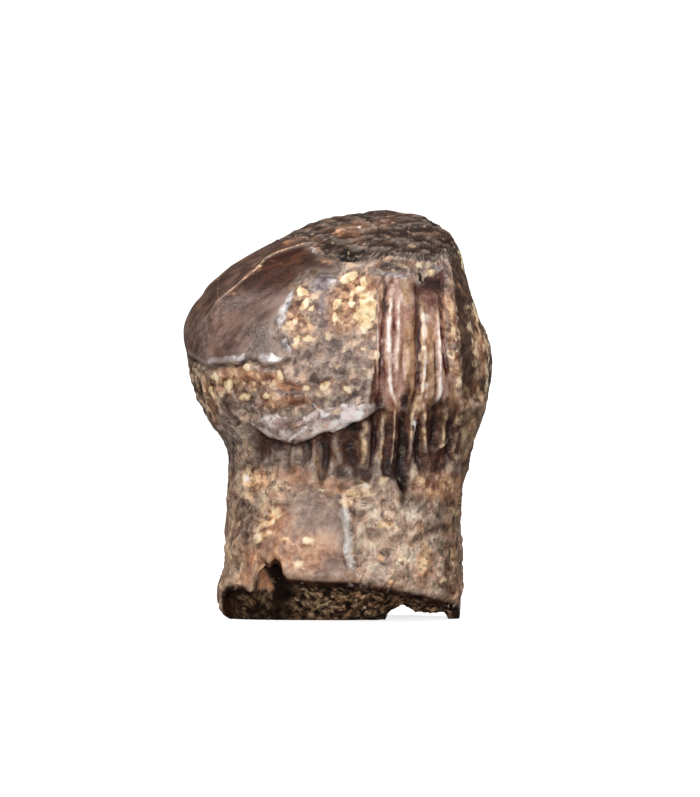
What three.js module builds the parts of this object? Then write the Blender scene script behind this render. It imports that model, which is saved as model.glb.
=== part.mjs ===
// A fossil front tooth of a small plant-eating dinosaur: a swollen, ridged crown with a worn tip,
// a narrower neck and the stump of a root that broke off, all one natural piece.
// Millimetres, +Z up along the tooth, +X to the viewer's right, -Y towards the viewer.
// The origin is under the middle of the stump, on the surface that the broken end stands on.
import * as THREE from "three";

// Stations up the tooth. At each one the horizontal section reaches this far from the origin to the
// left, right, front and back. The first value runs along the wall: it equals the height up to the
// shoulder, then counts on along the dome to the tip.
const STATIONS = [
  { along: 0.0, height: 0.0, left: 2.46, right: 2.6, front: 1.98, back: 1.82 },
  { along: 0.1, height: 0.1, left: 2.58, right: 2.63, front: 2.03, back: 1.85 },
  { along: 0.3, height: 0.3, left: 2.65, right: 2.65, front: 2.06, back: 1.87 },
  { along: 0.7, height: 0.7, left: 2.69, right: 2.68, front: 2.1, back: 1.9 },
  { along: 1.2, height: 1.2, left: 2.55, right: 2.68, front: 2.08, back: 1.9 },
  { along: 2.0, height: 2.0, left: 2.52, right: 2.66, front: 2.04, back: 1.88 },
  { along: 2.9, height: 2.9, left: 2.47, right: 2.69, front: 1.99, back: 1.86 },
  { along: 3.4, height: 3.4, left: 2.46, right: 2.82, front: 2.0, back: 1.95 },
  { along: 3.85, height: 3.85, left: 2.54, right: 2.95, front: 2.1, back: 2.14 },
  { along: 4.3, height: 4.3, left: 2.84, right: 3.1, front: 2.26, back: 2.4 },
  { along: 4.8, height: 4.8, left: 3.08, right: 3.21, front: 2.43, back: 2.6 },
  { along: 5.5, height: 5.5, left: 3.28, right: 3.3, front: 2.54, back: 2.74 },
  { along: 6.05, height: 6.05, left: 3.33, right: 3.26, front: 2.52, back: 2.76 },
  { along: 6.6, height: 6.6, left: 3.29, right: 3.07, front: 2.43, back: 2.7 },
  { along: 7.1, height: 7.1, left: 3.02, right: 2.92, front: 2.27, back: 2.56 },
  { along: 7.6, height: 7.6, left: 2.53, right: 2.78, front: 2.02, back: 2.36 },
  { along: 8.05, height: 8.05, left: 1.87, right: 2.64, front: 1.42, back: 2.1 },
  { along: 8.45, height: 8.4, left: 1.25, right: 2.48, front: 0.86, back: 1.82 },
  { along: 8.85, height: 8.69, left: 0.68, right: 2.14, front: 0.34, back: 1.48 },
  { along: 9.3, height: 8.89, left: 0.0, right: 1.74, front: -0.12, back: 1.08 },
  { along: 9.8, height: 9.0, left: -0.9, right: 0.96, front: -0.42, back: 0.48 },
];
// Above 2 the sections are squarer than an ellipse.
const SECTION_POWER = 2.3;

// Enamel ridges on the right of the front face. "at" is the crest's place across the face, from -1 at
// the left edge to 1 at the right, and each is followed by a groove.
const RIDGES = [
  { at: 0.343, groove: 0.374, height: 0.05 },
  { at: 0.404, groove: 0.431, height: 0.045 },
  { at: 0.471, groove: 0.519, height: 0.055 },
  { at: 0.566, groove: 0.626, height: 0.07 },
  { at: 0.673, groove: 0.704, height: 0.06 },
  { at: 0.741, groove: 0.764, height: 0.05 },
  { at: 0.795, groove: 0.86, height: 0.055 },
];
const FIRST_GROOVE = 0.303;
const RIDGE_SPREAD = 0.021;
const GROOVE_DEPTH = 0.05;
const RIDGED = { bottom: 4.15, top: 7.55, soft: 0.25 };

// Short flutes round the neck, where the crown's enamel ends, by their place across the front face.
const NECK_FLUTES = [-0.62, -0.47, -0.28, -0.14, 0.02, 0.21, 0.33, 0.45, 0.57, 0.71, 0.84];
const FLUTES = { bottom: 3.3, top: 4.1, soft: 0.15, spread: 0.032, depth: 0.07 };

// The back face has even, fainter ridges, a flake of enamel gone and a shallow groove in the root.
const BACK_RIDGES = { count: 10, height: 0.035, bottom: 3.75, top: 7.65, soft: 0.4 };
const BACK_FLAKE = { x: 1.2, height: 5.0, squash: 1.3, reach: 0.85, depth: 0.07 };
const ROOT_GROOVE = { x: -0.25, bottom: 0.35, top: 2.95, soft: 0.35, reach: 0.5, depth: 0.1 };

// Smooth enamel stands proud of the bared dentine at the upper left, down to a rippling edge, and in
// a band that runs on to the right under the worn tip. The neck under it is bared a second time.
const ENAMEL = { step: 0.08, bottom: 5.56, ripple: 0.05, ripples: 4, right: -1.12, left: -0.97 };
const ENAMEL_BAND = { bottom: 7.48, top: 7.88, right: 0.75, widening: 0.32 };
const NECK = { step: 0.09, edge: 4.17, lean: 0.1, bow: 0.14, left: -1.85, right: 0.95, fadesAt: 3.3 };
const LEDGE_SOFTNESS = 0.06;

// The cutting edge that runs up the left side to the worn tip, seen from the front.
const LEFT_EDGE_LINE = [[-3.1, 6.1], [-2.75, 6.85], [-2.1, 7.45], [-1.3, 7.95], [-0.6, 8.22]];
const LEFT_EDGE = { height: 0.06, spread: 0.09 };

// Both sides of the crown come to a faint edge.
const SIDE_EDGE = { height: 0.05, from: 0.955, bottom: 4.7, top: 7.95, soft: 0.4 };

// The root's low middle crest, the hollow under the ridges and the pit under the tip.
const ROOT_CREST = { x: 0.15, bottom: 1.2, top: 2.5, soft: 0.2, height: 0.07, spread: 0.11 };
const PITS = [
  { x: 2.25, height: 4.5, reach: 0.42, depth: 0.1 },
  { x: 0.25, height: 7.99, reach: 0.2, depth: 0.16 },
];

// How lumpy and how gritty the plain surface is, and how much more so the root and the tip are.
const LUMPS = { plain: 0.03, root: 0.05, tip: 0.03, rootTop: 3.3, tipBottom: 7.92 };
const GRIT = { plain: 0.015, tip: 0.05 };

// The height of the broken end's underside. The near wall broke higher than the core and the far
// wall, which reach the surface in flat spots, and a gap runs through under the right.
const NEAR_EDGE = [
  [-2.8, 0.58], [-1.95, 0.7], [-1.8, 0.62], [-1.7, 1.12], [-1.5, 1.18], [-1.38, 1.27], [-1.2, 1.0],
  [-1.06, 0.85], [-0.4, 0.8], [0.5, 0.76], [1.1, 0.62], [1.8, 0.48], [2.4, 0.28], [2.7, 0.12],
];
const UNDERSIDE = [
  [-2.8, 0.0], [-1.5, 0.0], [-1.1, 0.07], [0.3, 0.07], [0.8, 0.14], [1.2, 0.3], [1.42, 0.42],
  [1.62, 0.22], [2.3, 0.16], [2.45, 0.06], [2.8, 0.06],
];
const STUMP = { halfWidth: 2.75, halfDepth: 2.05, rim: 0.12, slope: 1.15, roundness: 0.65 };
const CORE = { from: -1.1, to: -0.7 };
const CORE_LUMPS = { height: 0.05, left: -1.3, front: 1.05, soft: 0.25 };
const GAP = { from: 0.8, full: 1.15, ends: 2.3, to: 2.42 };
const FLAT_BELOW = 0.035;

// Rows up the wall and columns round it.
const CAP_RINGS = [0.2, 0.42, 0.6, 0.74, 0.84, 0.91, 0.96];
const STUMP_ROWS = 6;
const STUMP_BLEND = 1.5;
const WALL_ROWS = [
  1.9, 2.3, 2.65, 2.95, 3.2, 3.45, 3.7, 3.95, 4.12, 4.28, 4.5, 4.75, 5.05, 5.35, 5.5, 5.6, 5.85,
  6.15, 6.45, 6.75, 7.05, 7.3, 7.52, 7.7, 7.9, 8.12, 8.35, 8.6, 8.87, 9.15, 9.45,
];
const LEFT_COLUMNS = 25;
const EDGE_COLUMNS = 5;
const BACK_COLUMNS = 40;

// 0 below "from", 1 above "to", smooth between them.
function rise(value, from, to) {
  return THREE.MathUtils.smoothstep(value, from, to);
}

// 0 well below "edge" and 1 well above it, over twice "soft".
function above(value, edge, soft) {
  return rise(value, edge - soft, edge + soft);
}

// 1 between "from" and "to" and 0 well outside them.
function between(value, from, to, soft) {
  return above(value, from, soft) * (1 - above(value, to, soft));
}

function bell(distance, spread) {
  return Math.exp(-((distance / spread) ** 2));
}

// A smooth curve through the stations, which gives each measure at any place along the wall.
function stationAt(along) {
  const last = STATIONS.length - 1;
  let i = 0;
  while (i < last - 1 && along > STATIONS[i + 1].along) i += 1;
  const a = STATIONS[i];
  const b = STATIONS[i + 1];
  const before = STATIONS[Math.max(i - 1, 0)];
  const after = STATIONS[Math.min(i + 2, last)];
  const span = b.along - a.along;
  const t = (along - a.along) / span;
  const measure = (key) => {
    const slopeA = (b[key] - before[key]) / (b.along - before.along);
    const slopeB = (after[key] - a[key]) / (after.along - a.along);
    return (
      a[key] * (1 + 2 * t) * (1 - t) ** 2 +
      b[key] * t * t * (3 - 2 * t) +
      span * (slopeA * t * (1 - t) ** 2 - slopeB * t * t * (1 - t))
    );
  };
  return {
    height: measure("height"),
    left: measure("left"),
    right: measure("right"),
    front: measure("front"),
    back: measure("back"),
  };
}

// The plain wall before any relief. Across runs from -1 at the left edge to 1 at the right, and
// depth from -1 at the front to 1 at the back.
function plainWall(angle, along) {
  const s = stationAt(along);
  const across = Math.sign(Math.cos(angle)) * Math.abs(Math.cos(angle)) ** (2 / SECTION_POWER);
  const depth = Math.sign(Math.sin(angle)) * Math.abs(Math.sin(angle)) ** (2 / SECTION_POWER);
  const point = new THREE.Vector3(
    (s.right - s.left) / 2 + ((s.right + s.left) / 2) * across,
    (s.back - s.front) / 2 + ((s.back + s.front) / 2) * depth,
    s.height,
  );
  return { point, across, depth };
}

function angleOfFront(across) {
  return 2 * Math.PI - Math.acos(Math.sign(across) * Math.abs(across) ** (SECTION_POWER / 2));
}

// Broad lumps of a natural surface, from -1 to 1.
function lumps(p) {
  return (
    0.5 * Math.sin(2.9 * p.x + 1.7 * p.z + 0.4) * Math.sin(2.3 * p.y - 1.3 * p.z + 1.1) +
    0.5 * Math.sin(5.3 * p.x - 3.1 * p.y + 0.8) * Math.sin(4.7 * p.z + 2.1 * p.y)
  );
}

// Fine lumps of a rough, worn surface, from -1 to 1.
function grit(p) {
  const along = Math.sin(11.3 * p.x + 3 * p.z) * Math.sin(12.7 * p.z - 5 * p.y + 0.6);
  return along * Math.sin(9.1 * p.y + 1.9 + 4 * p.x);
}

// How far a point is from a line of points on the front face, seen from the front.
function distanceToLine(x, z, line) {
  const p = new THREE.Vector2(x, z);
  const near = new THREE.Vector2();
  let least = Infinity;
  for (let i = 0; i + 1 < line.length; i += 1) {
    const a = new THREE.Vector2(...line[i]);
    const run = new THREE.Vector2(...line[i + 1]).sub(a);
    const t = THREE.MathUtils.clamp(near.copy(p).sub(a).dot(run) / run.lengthSq(), 0, 1);
    least = Math.min(least, near.copy(a).addScaledVector(run, t).distanceTo(p));
  }
  return least;
}

function enamelShare(p, across) {
  const soft = LEDGE_SOFTNESS;
  const bottom = ENAMEL.bottom + ENAMEL.ripple * Math.sin(ENAMEL.ripples * p.x);
  const right = ENAMEL.right + ENAMEL_BAND.widening * above(p.z, ENAMEL_BAND.bottom - 0.3, 0.3);
  const patch = above(p.z, bottom, soft) * (1 - above(p.x, right, soft));
  const band = between(p.z, ENAMEL_BAND.bottom, ENAMEL_BAND.top, soft);
  const bandEnd = 1 - above(p.x, ENAMEL_BAND.right, 2 * soft);
  return Math.max(patch * above(across, ENAMEL.left, 0.03), band * bandEnd);
}

function neckShare(p) {
  const top = NECK.edge + NECK.lean * p.x + NECK.bow * p.x * p.x;
  const below = 1 - above(p.z, top, LEDGE_SOFTNESS);
  return below * above(p.z, NECK.fadesAt, 0.4) * between(p.x, NECK.left, NECK.right, 0.3);
}

function frontRelief(p, across) {
  let relief = ENAMEL.step * enamelShare(p, across) - NECK.step * neckShare(p);
  const ridged = between(p.z, RIDGED.bottom, RIDGED.top, RIDGED.soft);
  relief -= ridged * GROOVE_DEPTH * bell(across - FIRST_GROOVE, RIDGE_SPREAD);
  for (const ridge of RIDGES) {
    relief += ridged * ridge.height * bell(across - ridge.at, RIDGE_SPREAD);
    relief -= ridged * GROOVE_DEPTH * bell(across - ridge.groove, RIDGE_SPREAD);
  }
  const fluted = between(p.z, FLUTES.bottom, FLUTES.top, FLUTES.soft);
  for (const at of NECK_FLUTES) relief -= fluted * FLUTES.depth * bell(across - at, FLUTES.spread);
  relief += LEFT_EDGE.height * bell(distanceToLine(p.x, p.z, LEFT_EDGE_LINE), LEFT_EDGE.spread);
  const crest = between(p.z, ROOT_CREST.bottom, ROOT_CREST.top, ROOT_CREST.soft);
  relief += crest * ROOT_CREST.height * bell(p.x - ROOT_CREST.x, ROOT_CREST.spread);
  for (const pit of PITS) {
    relief -= pit.depth * bell(Math.hypot(p.x - pit.x, p.z - pit.height), pit.reach);
  }
  return relief;
}

function backRelief(p, angle) {
  const ridged = between(p.z, BACK_RIDGES.bottom, BACK_RIDGES.top, BACK_RIDGES.soft);
  const flakeAway = Math.hypot(p.x - BACK_FLAKE.x, BACK_FLAKE.squash * (p.z - BACK_FLAKE.height));
  const grooved = between(p.z, ROOT_GROOVE.bottom, ROOT_GROOVE.top, ROOT_GROOVE.soft);
  return (
    ridged * BACK_RIDGES.height * Math.cos(2 * BACK_RIDGES.count * angle) -
    BACK_FLAKE.depth * bell(flakeAway, BACK_FLAKE.reach) -
    grooved * ROOT_GROOVE.depth * bell(p.x - ROOT_GROOVE.x, ROOT_GROOVE.reach)
  );
}

function heightOn(line, x) {
  let i = 0;
  while (i < line.length - 2 && x > line[i + 1][0]) i += 1;
  const t = THREE.MathUtils.clamp((x - line[i][0]) / (line[i + 1][0] - line[i][0]), 0, 1);
  return THREE.MathUtils.lerp(line[i][1], line[i + 1][1], t);
}

function brokenEnd(x, y) {
  const fullness = Math.sqrt(Math.max(0, 1 - (x / STUMP.halfWidth) ** 2));
  const front = -STUMP.halfDepth * fullness;
  const slope = STUMP.slope * (1 - STUMP.roundness + STUMP.roundness * fullness);
  const inward = rise(y, front + STUMP.rim, front + slope);
  // Behind, the core and the far wall stand on the surface, but for the gap at the right.
  const gap = rise(x, GAP.from, GAP.full) * (1 - rise(x, GAP.ends, GAP.to));
  const core = heightOn(UNDERSIDE, x) * (1 - rise(y, CORE.from, CORE.to) * (1 - gap));
  const { left, front: lumpyFront, soft } = CORE_LUMPS;
  const lumpy = above(-y, lumpyFront, soft) * above(x, left, soft);
  const coreLumps = CORE_LUMPS.height * (1 + Math.sin(9 * x + 2) * Math.sin(8 * y + 1));
  const height = THREE.MathUtils.lerp(heightOn(NEAR_EDGE, x), core + coreLumps * lumpy, inward);
  return height < FLAT_BELOW ? 0 : height;
}

// The finished wall: the plain wall, moved out along its own normal by the relief.
function toothPoint(angle, along) {
  const step = 1e-3;
  const { point, across, depth } = plainWall(angle, along);
  const round = plainWall(angle + step, along).point.sub(plainWall(angle - step, along).point);
  const up = plainWall(angle, along + step).point.sub(plainWall(angle, along - step).point);
  const outward = round.cross(up).normalize();
  let relief = rise(-depth, 0, 0.35) * frontRelief(point, across);
  relief += rise(depth, 0, 0.35) * backRelief(point, angle);
  const onCrown = between(point.z, SIDE_EDGE.bottom, SIDE_EDGE.top, SIDE_EDGE.soft);
  relief += SIDE_EDGE.height * onCrown * rise(Math.abs(across), SIDE_EDGE.from, 1);
  const root = 1 - above(point.z, LUMPS.rootTop, 0.3);
  const tip = above(point.z, LUMPS.tipBottom, 0.2);
  relief += (LUMPS.plain + LUMPS.root * root + LUMPS.tip * tip) * lumps(point);
  relief += (GRIT.plain + GRIT.tip * tip) * grit(point);
  return point.addScaledVector(outward, relief);
}

function columnAngles() {
  const angles = [];
  for (let i = 0; i < BACK_COLUMNS; i += 1) angles.push((Math.PI * i) / BACK_COLUMNS);
  const ridgesFrom = angleOfFront(FIRST_GROOVE - 0.03);
  for (let i = 0; i < LEFT_COLUMNS; i += 1) {
    angles.push(Math.PI + ((ridgesFrom - Math.PI) * i) / LEFT_COLUMNS);
  }
  angles.push(ridgesFrom);
  // In the ridged zone a column runs up each crest, each groove and each flank between them.
  let before = FIRST_GROOVE;
  angles.push(angleOfFront(FIRST_GROOVE));
  for (const ridge of RIDGES) {
    angles.push(angleOfFront((before + ridge.at) / 2));
    angles.push(angleOfFront(ridge.at));
    angles.push(angleOfFront((ridge.at + ridge.groove) / 2));
    angles.push(angleOfFront(ridge.groove));
    before = ridge.groove;
  }
  const last = angleOfFront(before);
  for (let i = 1; i <= EDGE_COLUMNS; i += 1) {
    angles.push(last + ((2 * Math.PI - last) * i) / (EDGE_COLUMNS + 1));
  }
  return angles;
}

// Every ring of points, from the middle of the broken end outwards, up the wall and over the tip.
function toothRings(angles) {
  const rim = angles.map((angle) => {
    const { point } = plainWall(angle, 0);
    point.z = brokenEnd(point.x, point.y);
    return point;
  });
  const rings = CAP_RINGS.map((share) =>
    rim.map((p) => new THREE.Vector3(p.x * share, p.y * share, brokenEnd(p.x * share, p.y * share))),
  );
  for (let row = 0; row <= STUMP_ROWS; row += 1) {
    const share = row / STUMP_ROWS;
    rings.push(
      angles.map((angle, i) => {
        const along = THREE.MathUtils.lerp(rim[i].z, STUMP_BLEND, share);
        const p = toothPoint(angle, along);
        // The lowest row lies exactly on the broken end, so that its flat spots stay flat.
        if (row === 0) p.z = rim[i].z;
        return p;
      }),
    );
  }
  for (const along of WALL_ROWS) rings.push(angles.map((angle) => toothPoint(angle, along)));
  return rings;
}

function toothGeometry() {
  const angles = columnAngles();
  const rings = toothRings(angles);
  const columns = angles.length;
  const tip = STATIONS.at(-1);
  const points = rings.flat();
  const bottom = points.push(new THREE.Vector3(0, 0, brokenEnd(0, 0))) - 1;
  const top = points.push(
    new THREE.Vector3((tip.right - tip.left) / 2, (tip.back - tip.front) / 2, tip.height),
  ) - 1;
  const index = [];
  const lastRing = (rings.length - 1) * columns;
  for (let i = 0; i < columns; i += 1) {
    const next = (i + 1) % columns;
    index.push(bottom, next, i);
    index.push(top, lastRing + i, lastRing + next);
    for (let row = 0; row < rings.length - 1; row += 1) {
      const a = row * columns;
      const b = a + columns;
      index.push(a + i, a + next, b + next);
      index.push(a + i, b + next, b + i);
    }
  }
  const geometry = new THREE.BufferGeometry().setFromPoints(points);
  geometry.setIndex(index);
  // The middle of the outline, seen from above, goes over the origin.
  geometry.computeBoundingBox();
  const middle = geometry.boundingBox.getCenter(new THREE.Vector3());
  geometry.translate(-middle.x, -middle.y, 0);
  geometry.computeVertexNormals();
  return geometry;
}

const fossil = new THREE.MeshStandardMaterial({ color: 0x7f6453, roughness: 0.45, metalness: 0 });
const tooth = new THREE.Mesh(toothGeometry(), fossil);
tooth.name = "tooth";

const model = new THREE.Group();
model.add(tooth);
export default model;
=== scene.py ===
import math

import bpy
import numpy as np
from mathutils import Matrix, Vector


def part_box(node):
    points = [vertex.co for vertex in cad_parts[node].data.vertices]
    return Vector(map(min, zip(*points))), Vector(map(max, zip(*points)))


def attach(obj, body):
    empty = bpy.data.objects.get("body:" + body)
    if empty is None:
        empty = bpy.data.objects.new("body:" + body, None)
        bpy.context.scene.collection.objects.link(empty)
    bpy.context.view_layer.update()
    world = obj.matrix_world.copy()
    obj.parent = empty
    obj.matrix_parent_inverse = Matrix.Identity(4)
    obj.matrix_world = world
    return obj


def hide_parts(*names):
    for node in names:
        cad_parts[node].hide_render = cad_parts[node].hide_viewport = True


# The looks of a fossil dinosaur tooth: ridged enamel that has partly flaked off, a worn tip, a bared
# neck and a rough root stump filled with sediment. Shapes are worked out in millimetres, +Z up along
# the tooth and -Y towards the viewer, and the scene is in metres.
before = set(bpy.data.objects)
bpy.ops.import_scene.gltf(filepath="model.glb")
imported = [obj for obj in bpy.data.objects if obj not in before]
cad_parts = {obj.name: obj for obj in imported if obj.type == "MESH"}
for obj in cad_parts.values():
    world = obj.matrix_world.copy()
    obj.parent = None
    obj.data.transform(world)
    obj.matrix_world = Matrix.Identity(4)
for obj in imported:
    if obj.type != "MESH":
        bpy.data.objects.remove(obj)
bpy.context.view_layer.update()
MM = 0.001

# Stations up the tooth. The columns are the place along the wall, the height, and how far the
# horizontal section reaches to the left, right, front and back.
STATIONS = np.array([
    (0.0, 0.0, 2.46, 2.6, 1.98, 1.82),
    (0.1, 0.1, 2.58, 2.63, 2.03, 1.85),
    (0.3, 0.3, 2.65, 2.65, 2.06, 1.87),
    (0.7, 0.7, 2.69, 2.68, 2.1, 1.9),
    (1.2, 1.2, 2.55, 2.68, 2.08, 1.9),
    (2.0, 2.0, 2.52, 2.66, 2.04, 1.88),
    (2.9, 2.9, 2.47, 2.69, 1.99, 1.86),
    (3.4, 3.4, 2.46, 2.82, 2.0, 1.95),
    (3.85, 3.85, 2.54, 2.95, 2.1, 2.14),
    (4.3, 4.3, 2.84, 3.1, 2.26, 2.4),
    (4.8, 4.8, 3.08, 3.21, 2.43, 2.6),
    (5.5, 5.5, 3.28, 3.3, 2.54, 2.74),
    (6.05, 6.05, 3.33, 3.26, 2.52, 2.76),
    (6.6, 6.6, 3.29, 3.07, 2.43, 2.7),
    (7.1, 7.1, 3.02, 2.92, 2.27, 2.56),
    (7.6, 7.6, 2.53, 2.78, 2.02, 2.36),
    (8.05, 8.05, 1.87, 2.64, 1.42, 2.1),
    (8.45, 8.4, 1.25, 2.48, 0.86, 1.82),
    (8.85, 8.69, 0.68, 2.14, 0.34, 1.48),
    (9.3, 8.89, 0.0, 1.74, -0.12, 1.08),
    (9.8, 9.0, -0.9, 0.96, -0.42, 0.48),
])
SECTION_POWER = 2.3

# The mesh: columns round the tooth, and rows from the middle of the broken end to the tip.
COLUMNS = 400
END_ROWS = 26
STUMP_ROWS = 34
WALL_ROWS = 176
STUMP_TOP = 1.5

# The height of the broken end's near edge and of its underside, as (x, height).
NEAR_EDGE = [
    (-2.8, 0.58), (-2.3, 0.66), (-1.95, 0.7), (-1.8, 0.62), (-1.73, 1.08), (-1.62, 1.22), (-1.5, 1.17),
    (-1.38, 1.29), (-1.26, 1.2), (-1.18, 0.98), (-1.06, 0.85), (-0.4, 0.8), (0.5, 0.76), (1.1, 0.62),
    (1.8, 0.48), (2.4, 0.28), (2.7, 0.12),
]
UNDERSIDE = [
    (-2.8, 0.0), (-1.5, 0.0), (-1.1, 0.07), (0.3, 0.07), (0.8, 0.14), (1.2, 0.3), (1.42, 0.42),
    (1.62, 0.22), (2.3, 0.16), (2.45, 0.06), (2.8, 0.06),
]
BREAK_DEPTH = 1.15
STUMP_HALF_WIDTH = 2.75
STUMP_HALF_DEPTH = 2.05


def rise(value, start, end):
    """0 before start, 1 after end, smooth between them."""
    t = np.clip((value - start) / (end - start), 0, 1)
    return t * t * (3 - 2 * t)


def fall(value, start, end):
    return 1 - rise(value, start, end)


def over(value, edge, soft):
    """0 below an edge, 1 above it, smooth within soft of it."""
    return rise(value, edge - soft, edge + soft)


def bell(distance, spread):
    return np.exp(-((distance / spread) ** 2))


def follow(line, at):
    """The second measure of a line of points at a given first one."""
    first, second = zip(*line)
    return np.interp(at, first, second)


def hashed(cell, seed):
    """A repeatable number from 0 to 1 for each cell of a grid."""
    c = cell.astype(np.int64)
    h = c[..., 0] * 73856093 ^ c[..., 1] * 19349663 ^ c[..., 2] * 83492791 ^ seed * 40503
    h = (h ^ (h >> 13)) * 1274126177
    h = (h ^ (h >> 16)) * 69069
    return ((h >> 7) & 0xFFFF) / 0xFFFF


def noise(points, scale, seed):
    """Smooth noise from 0 to 1, with about scale lumps in a millimetre."""
    p = points * scale
    corner = np.floor(p)
    t = p - corner
    t = t * t * (3 - 2 * t)
    total = 0
    for step in np.ndindex(2, 2, 2):
        share = np.prod(np.where(step, t, 1 - t), axis=-1)
        total = total + share * hashed(corner + step, seed)
    return total


def fractal(points, scale, seed, octaves=4):
    total, weight = 0, 0
    for octave in range(octaves):
        share = 0.55 ** octave
        total = total + share * noise(points, scale * 2.03 ** octave, seed + octave)
        weight += share
    return total / weight


def flakes(points, scale, seed):
    """Angular flakes: each point's flake has a tone from 0 to 1, and a flat tilted face."""
    p = points * scale
    home = np.floor(p)
    nearest = np.full(len(p), np.inf)
    tone = np.zeros(len(p))
    face = np.zeros(len(p))
    for step in np.ndindex(3, 3, 3):
        cell = home + step - 1
        centre = cell + np.stack([hashed(cell, seed + axis) for axis in range(3)], -1)
        tilt = np.stack([hashed(cell, seed + 3 + axis) - 0.5 for axis in range(3)], -1)
        away = p - centre
        distance = np.linalg.norm(away, axis=-1)
        closer = distance < nearest
        nearest = np.where(closer, distance, nearest)
        tone = np.where(closer, hashed(cell, seed + 6), tone)
        face = np.where(closer, np.sum(away * tilt, axis=-1), face)
    return tone, (tone - 0.5) + 1.4 * face


def stations_at(along):
    """The height and the reach to the left, right, front and back, smooth through the stations."""
    place, measures = STATIONS[:, 0], STATIONS[:, 1:]
    last = len(place) - 1
    before = np.maximum(np.arange(last + 1) - 1, 0)
    after = np.minimum(np.arange(last + 1) + 1, last)
    slope = (measures[after] - measures[before]) / (place[after] - place[before])[:, None]
    a = np.clip(np.searchsorted(place, along, side="right") - 1, 0, last - 1)
    b = a + 1
    span = (place[b] - place[a])[..., None]
    t = (along - place[a])[..., None] / span
    return (
        measures[a] * (1 + 2 * t) * (1 - t) ** 2
        + measures[b] * t * t * (3 - 2 * t)
        + span * (slope[a] * t * (1 - t) ** 2 - slope[b] * t * t * (1 - t))
    )


def plain_wall(angle, along):
    """Points of the wall before any relief, how far across (-1 left, 1 right) and how deep (-1 front)."""
    height, left, right, front, back = np.moveaxis(stations_at(along), -1, 0)
    across = np.sign(np.cos(angle)) * np.abs(np.cos(angle)) ** (2 / SECTION_POWER)
    depth = np.sign(np.sin(angle)) * np.abs(np.sin(angle)) ** (2 / SECTION_POWER)
    x = (right - left) / 2 + (right + left) / 2 * across
    y = (back - front) / 2 + (back + front) / 2 * depth
    return np.stack([x, y, height], -1), across, depth


def wall_normals(angle, along, step=1e-3):
    round_it = plain_wall(angle + step, along)[0] - plain_wall(angle - step, along)[0]
    up_it = plain_wall(angle, along + step)[0] - plain_wall(angle, along - step)[0]
    outward = np.cross(round_it, up_it)
    return outward / np.linalg.norm(outward, axis=-1, keepdims=True)


def column_angles():
    """Angles round the tooth, closest together on the ridges of the near face."""
    fine = np.linspace(0, 2 * math.pi, 8001)
    points, _, _ = plain_wall(fine, np.full(fine.shape, 5.5))
    middle = (points[1:] + points[:-1]) / 2
    near = middle[:, 1] < 0.3
    ridged = near & (middle[:, 0] > 0.75) & (middle[:, 0] < 2.8)
    density = np.where(ridged, 1.8, np.where(near, 1.0, 0.6))
    length = np.linalg.norm(np.diff(points, axis=0), axis=-1) * density
    run = np.concatenate([[0], np.cumsum(length)])
    return np.interp(np.arange(COLUMNS) * run[-1] / COLUMNS, run, fine)


def broken_end(x, y):
    """The height of the broken end: the near wall broke higher than the core and the far wall."""
    fullness = np.sqrt(np.maximum(0, 1 - (x / STUMP_HALF_WIDTH) ** 2))
    front = -STUMP_HALF_DEPTH * fullness
    inward = rise(y, front + 0.12, front + BREAK_DEPTH * (0.35 + 0.65 * fullness))
    gap = rise(x, 0.8, 1.15) * rise(-x, -2.42, -2.3)
    core = follow(UNDERSIDE, x) * (1 - rise(y, -1.1, -0.7) * (1 - gap))
    lumps = 0.05 * (1 + np.sin(9 * x + 2) * np.sin(8 * y + 1))
    rough_front = rise(-y, 0.8, 1.3) * rise(x, -1.6, -1.0)
    near_edge = follow(NEAR_EDGE, x)
    height = near_edge + (core + lumps * rough_front - near_edge) * inward
    return np.where(height < 0.035, 0, height)


# Lines up the near face, each as (height, x) from the bottom up, with its half width, how far it
# stands out, and how much lighter or darker it is.
RIDGES = [
    ([(5.3, 0.81), (6.1, 0.82), (7.1, 0.81)], 0.03, 0.03, 0.26),
    ([(4.75, 1.2), (5.0, 1.12), (5.6, 1.06), (6.3, 1.06), (6.95, 1.1)], 0.042, 0.045, 0.46),
    ([(5.4, 1.24), (5.9, 1.25), (6.35, 1.27), (7.0, 1.28)], 0.032, 0.025, 0.3),
    ([(4.9, 1.45), (5.4, 1.46), (6.0, 1.48), (7.0, 1.48)], 0.08, 0.02, 0.12),
    ([(3.45, 1.52), (3.8, 1.55), (4.15, 1.64), (4.6, 1.71), (4.9, 1.79), (5.45, 1.83), (6.1, 1.82),
      (6.8, 1.8)], 0.052, 0.05, 0.6),
    ([(4.85, 1.98), (5.4, 1.97), (6.3, 1.94)], 0.1, 0.015, 0.16),
    ([(4.75, 2.14), (4.95, 2.18), (5.35, 2.19), (6.0, 2.16), (6.75, 2.13)], 0.034, 0.04, 0.42),
    ([(3.4, 0.73), (4.0, 0.77), (4.6, 0.86), (5.25, 0.92), (6.1, 0.92), (6.9, 0.95), (7.2, 1.04),
      (7.45, 1.16)], 0.06, -0.05, -0.34),
    ([(4.3, 0.76), (4.8, 0.8), (5.3, 0.84), (5.8, 0.88)], 0.12, -0.03, -0.24),
    ([(4.9, 1.17), (6.0, 1.16), (7.0, 1.18)], 0.03, -0.02, -0.18),
    ([(5.1, 1.35), (6.0, 1.36), (7.0, 1.38)], 0.03, -0.015, -0.12),
    ([(4.6, 1.42), (5.1, 1.48), (5.4, 1.54)], 0.08, -0.015, -0.26),
    ([(3.6, 1.48), (4.15, 1.55), (4.6, 1.6), (5.15, 1.67), (5.9, 1.68), (6.55, 1.67), (7.3, 1.69)],
     0.06, -0.045, -0.52),
    ([(4.8, 2.06), (5.0, 2.09), (5.45, 2.09), (6.1, 2.06)], 0.035, -0.03, -0.3),
]
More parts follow.
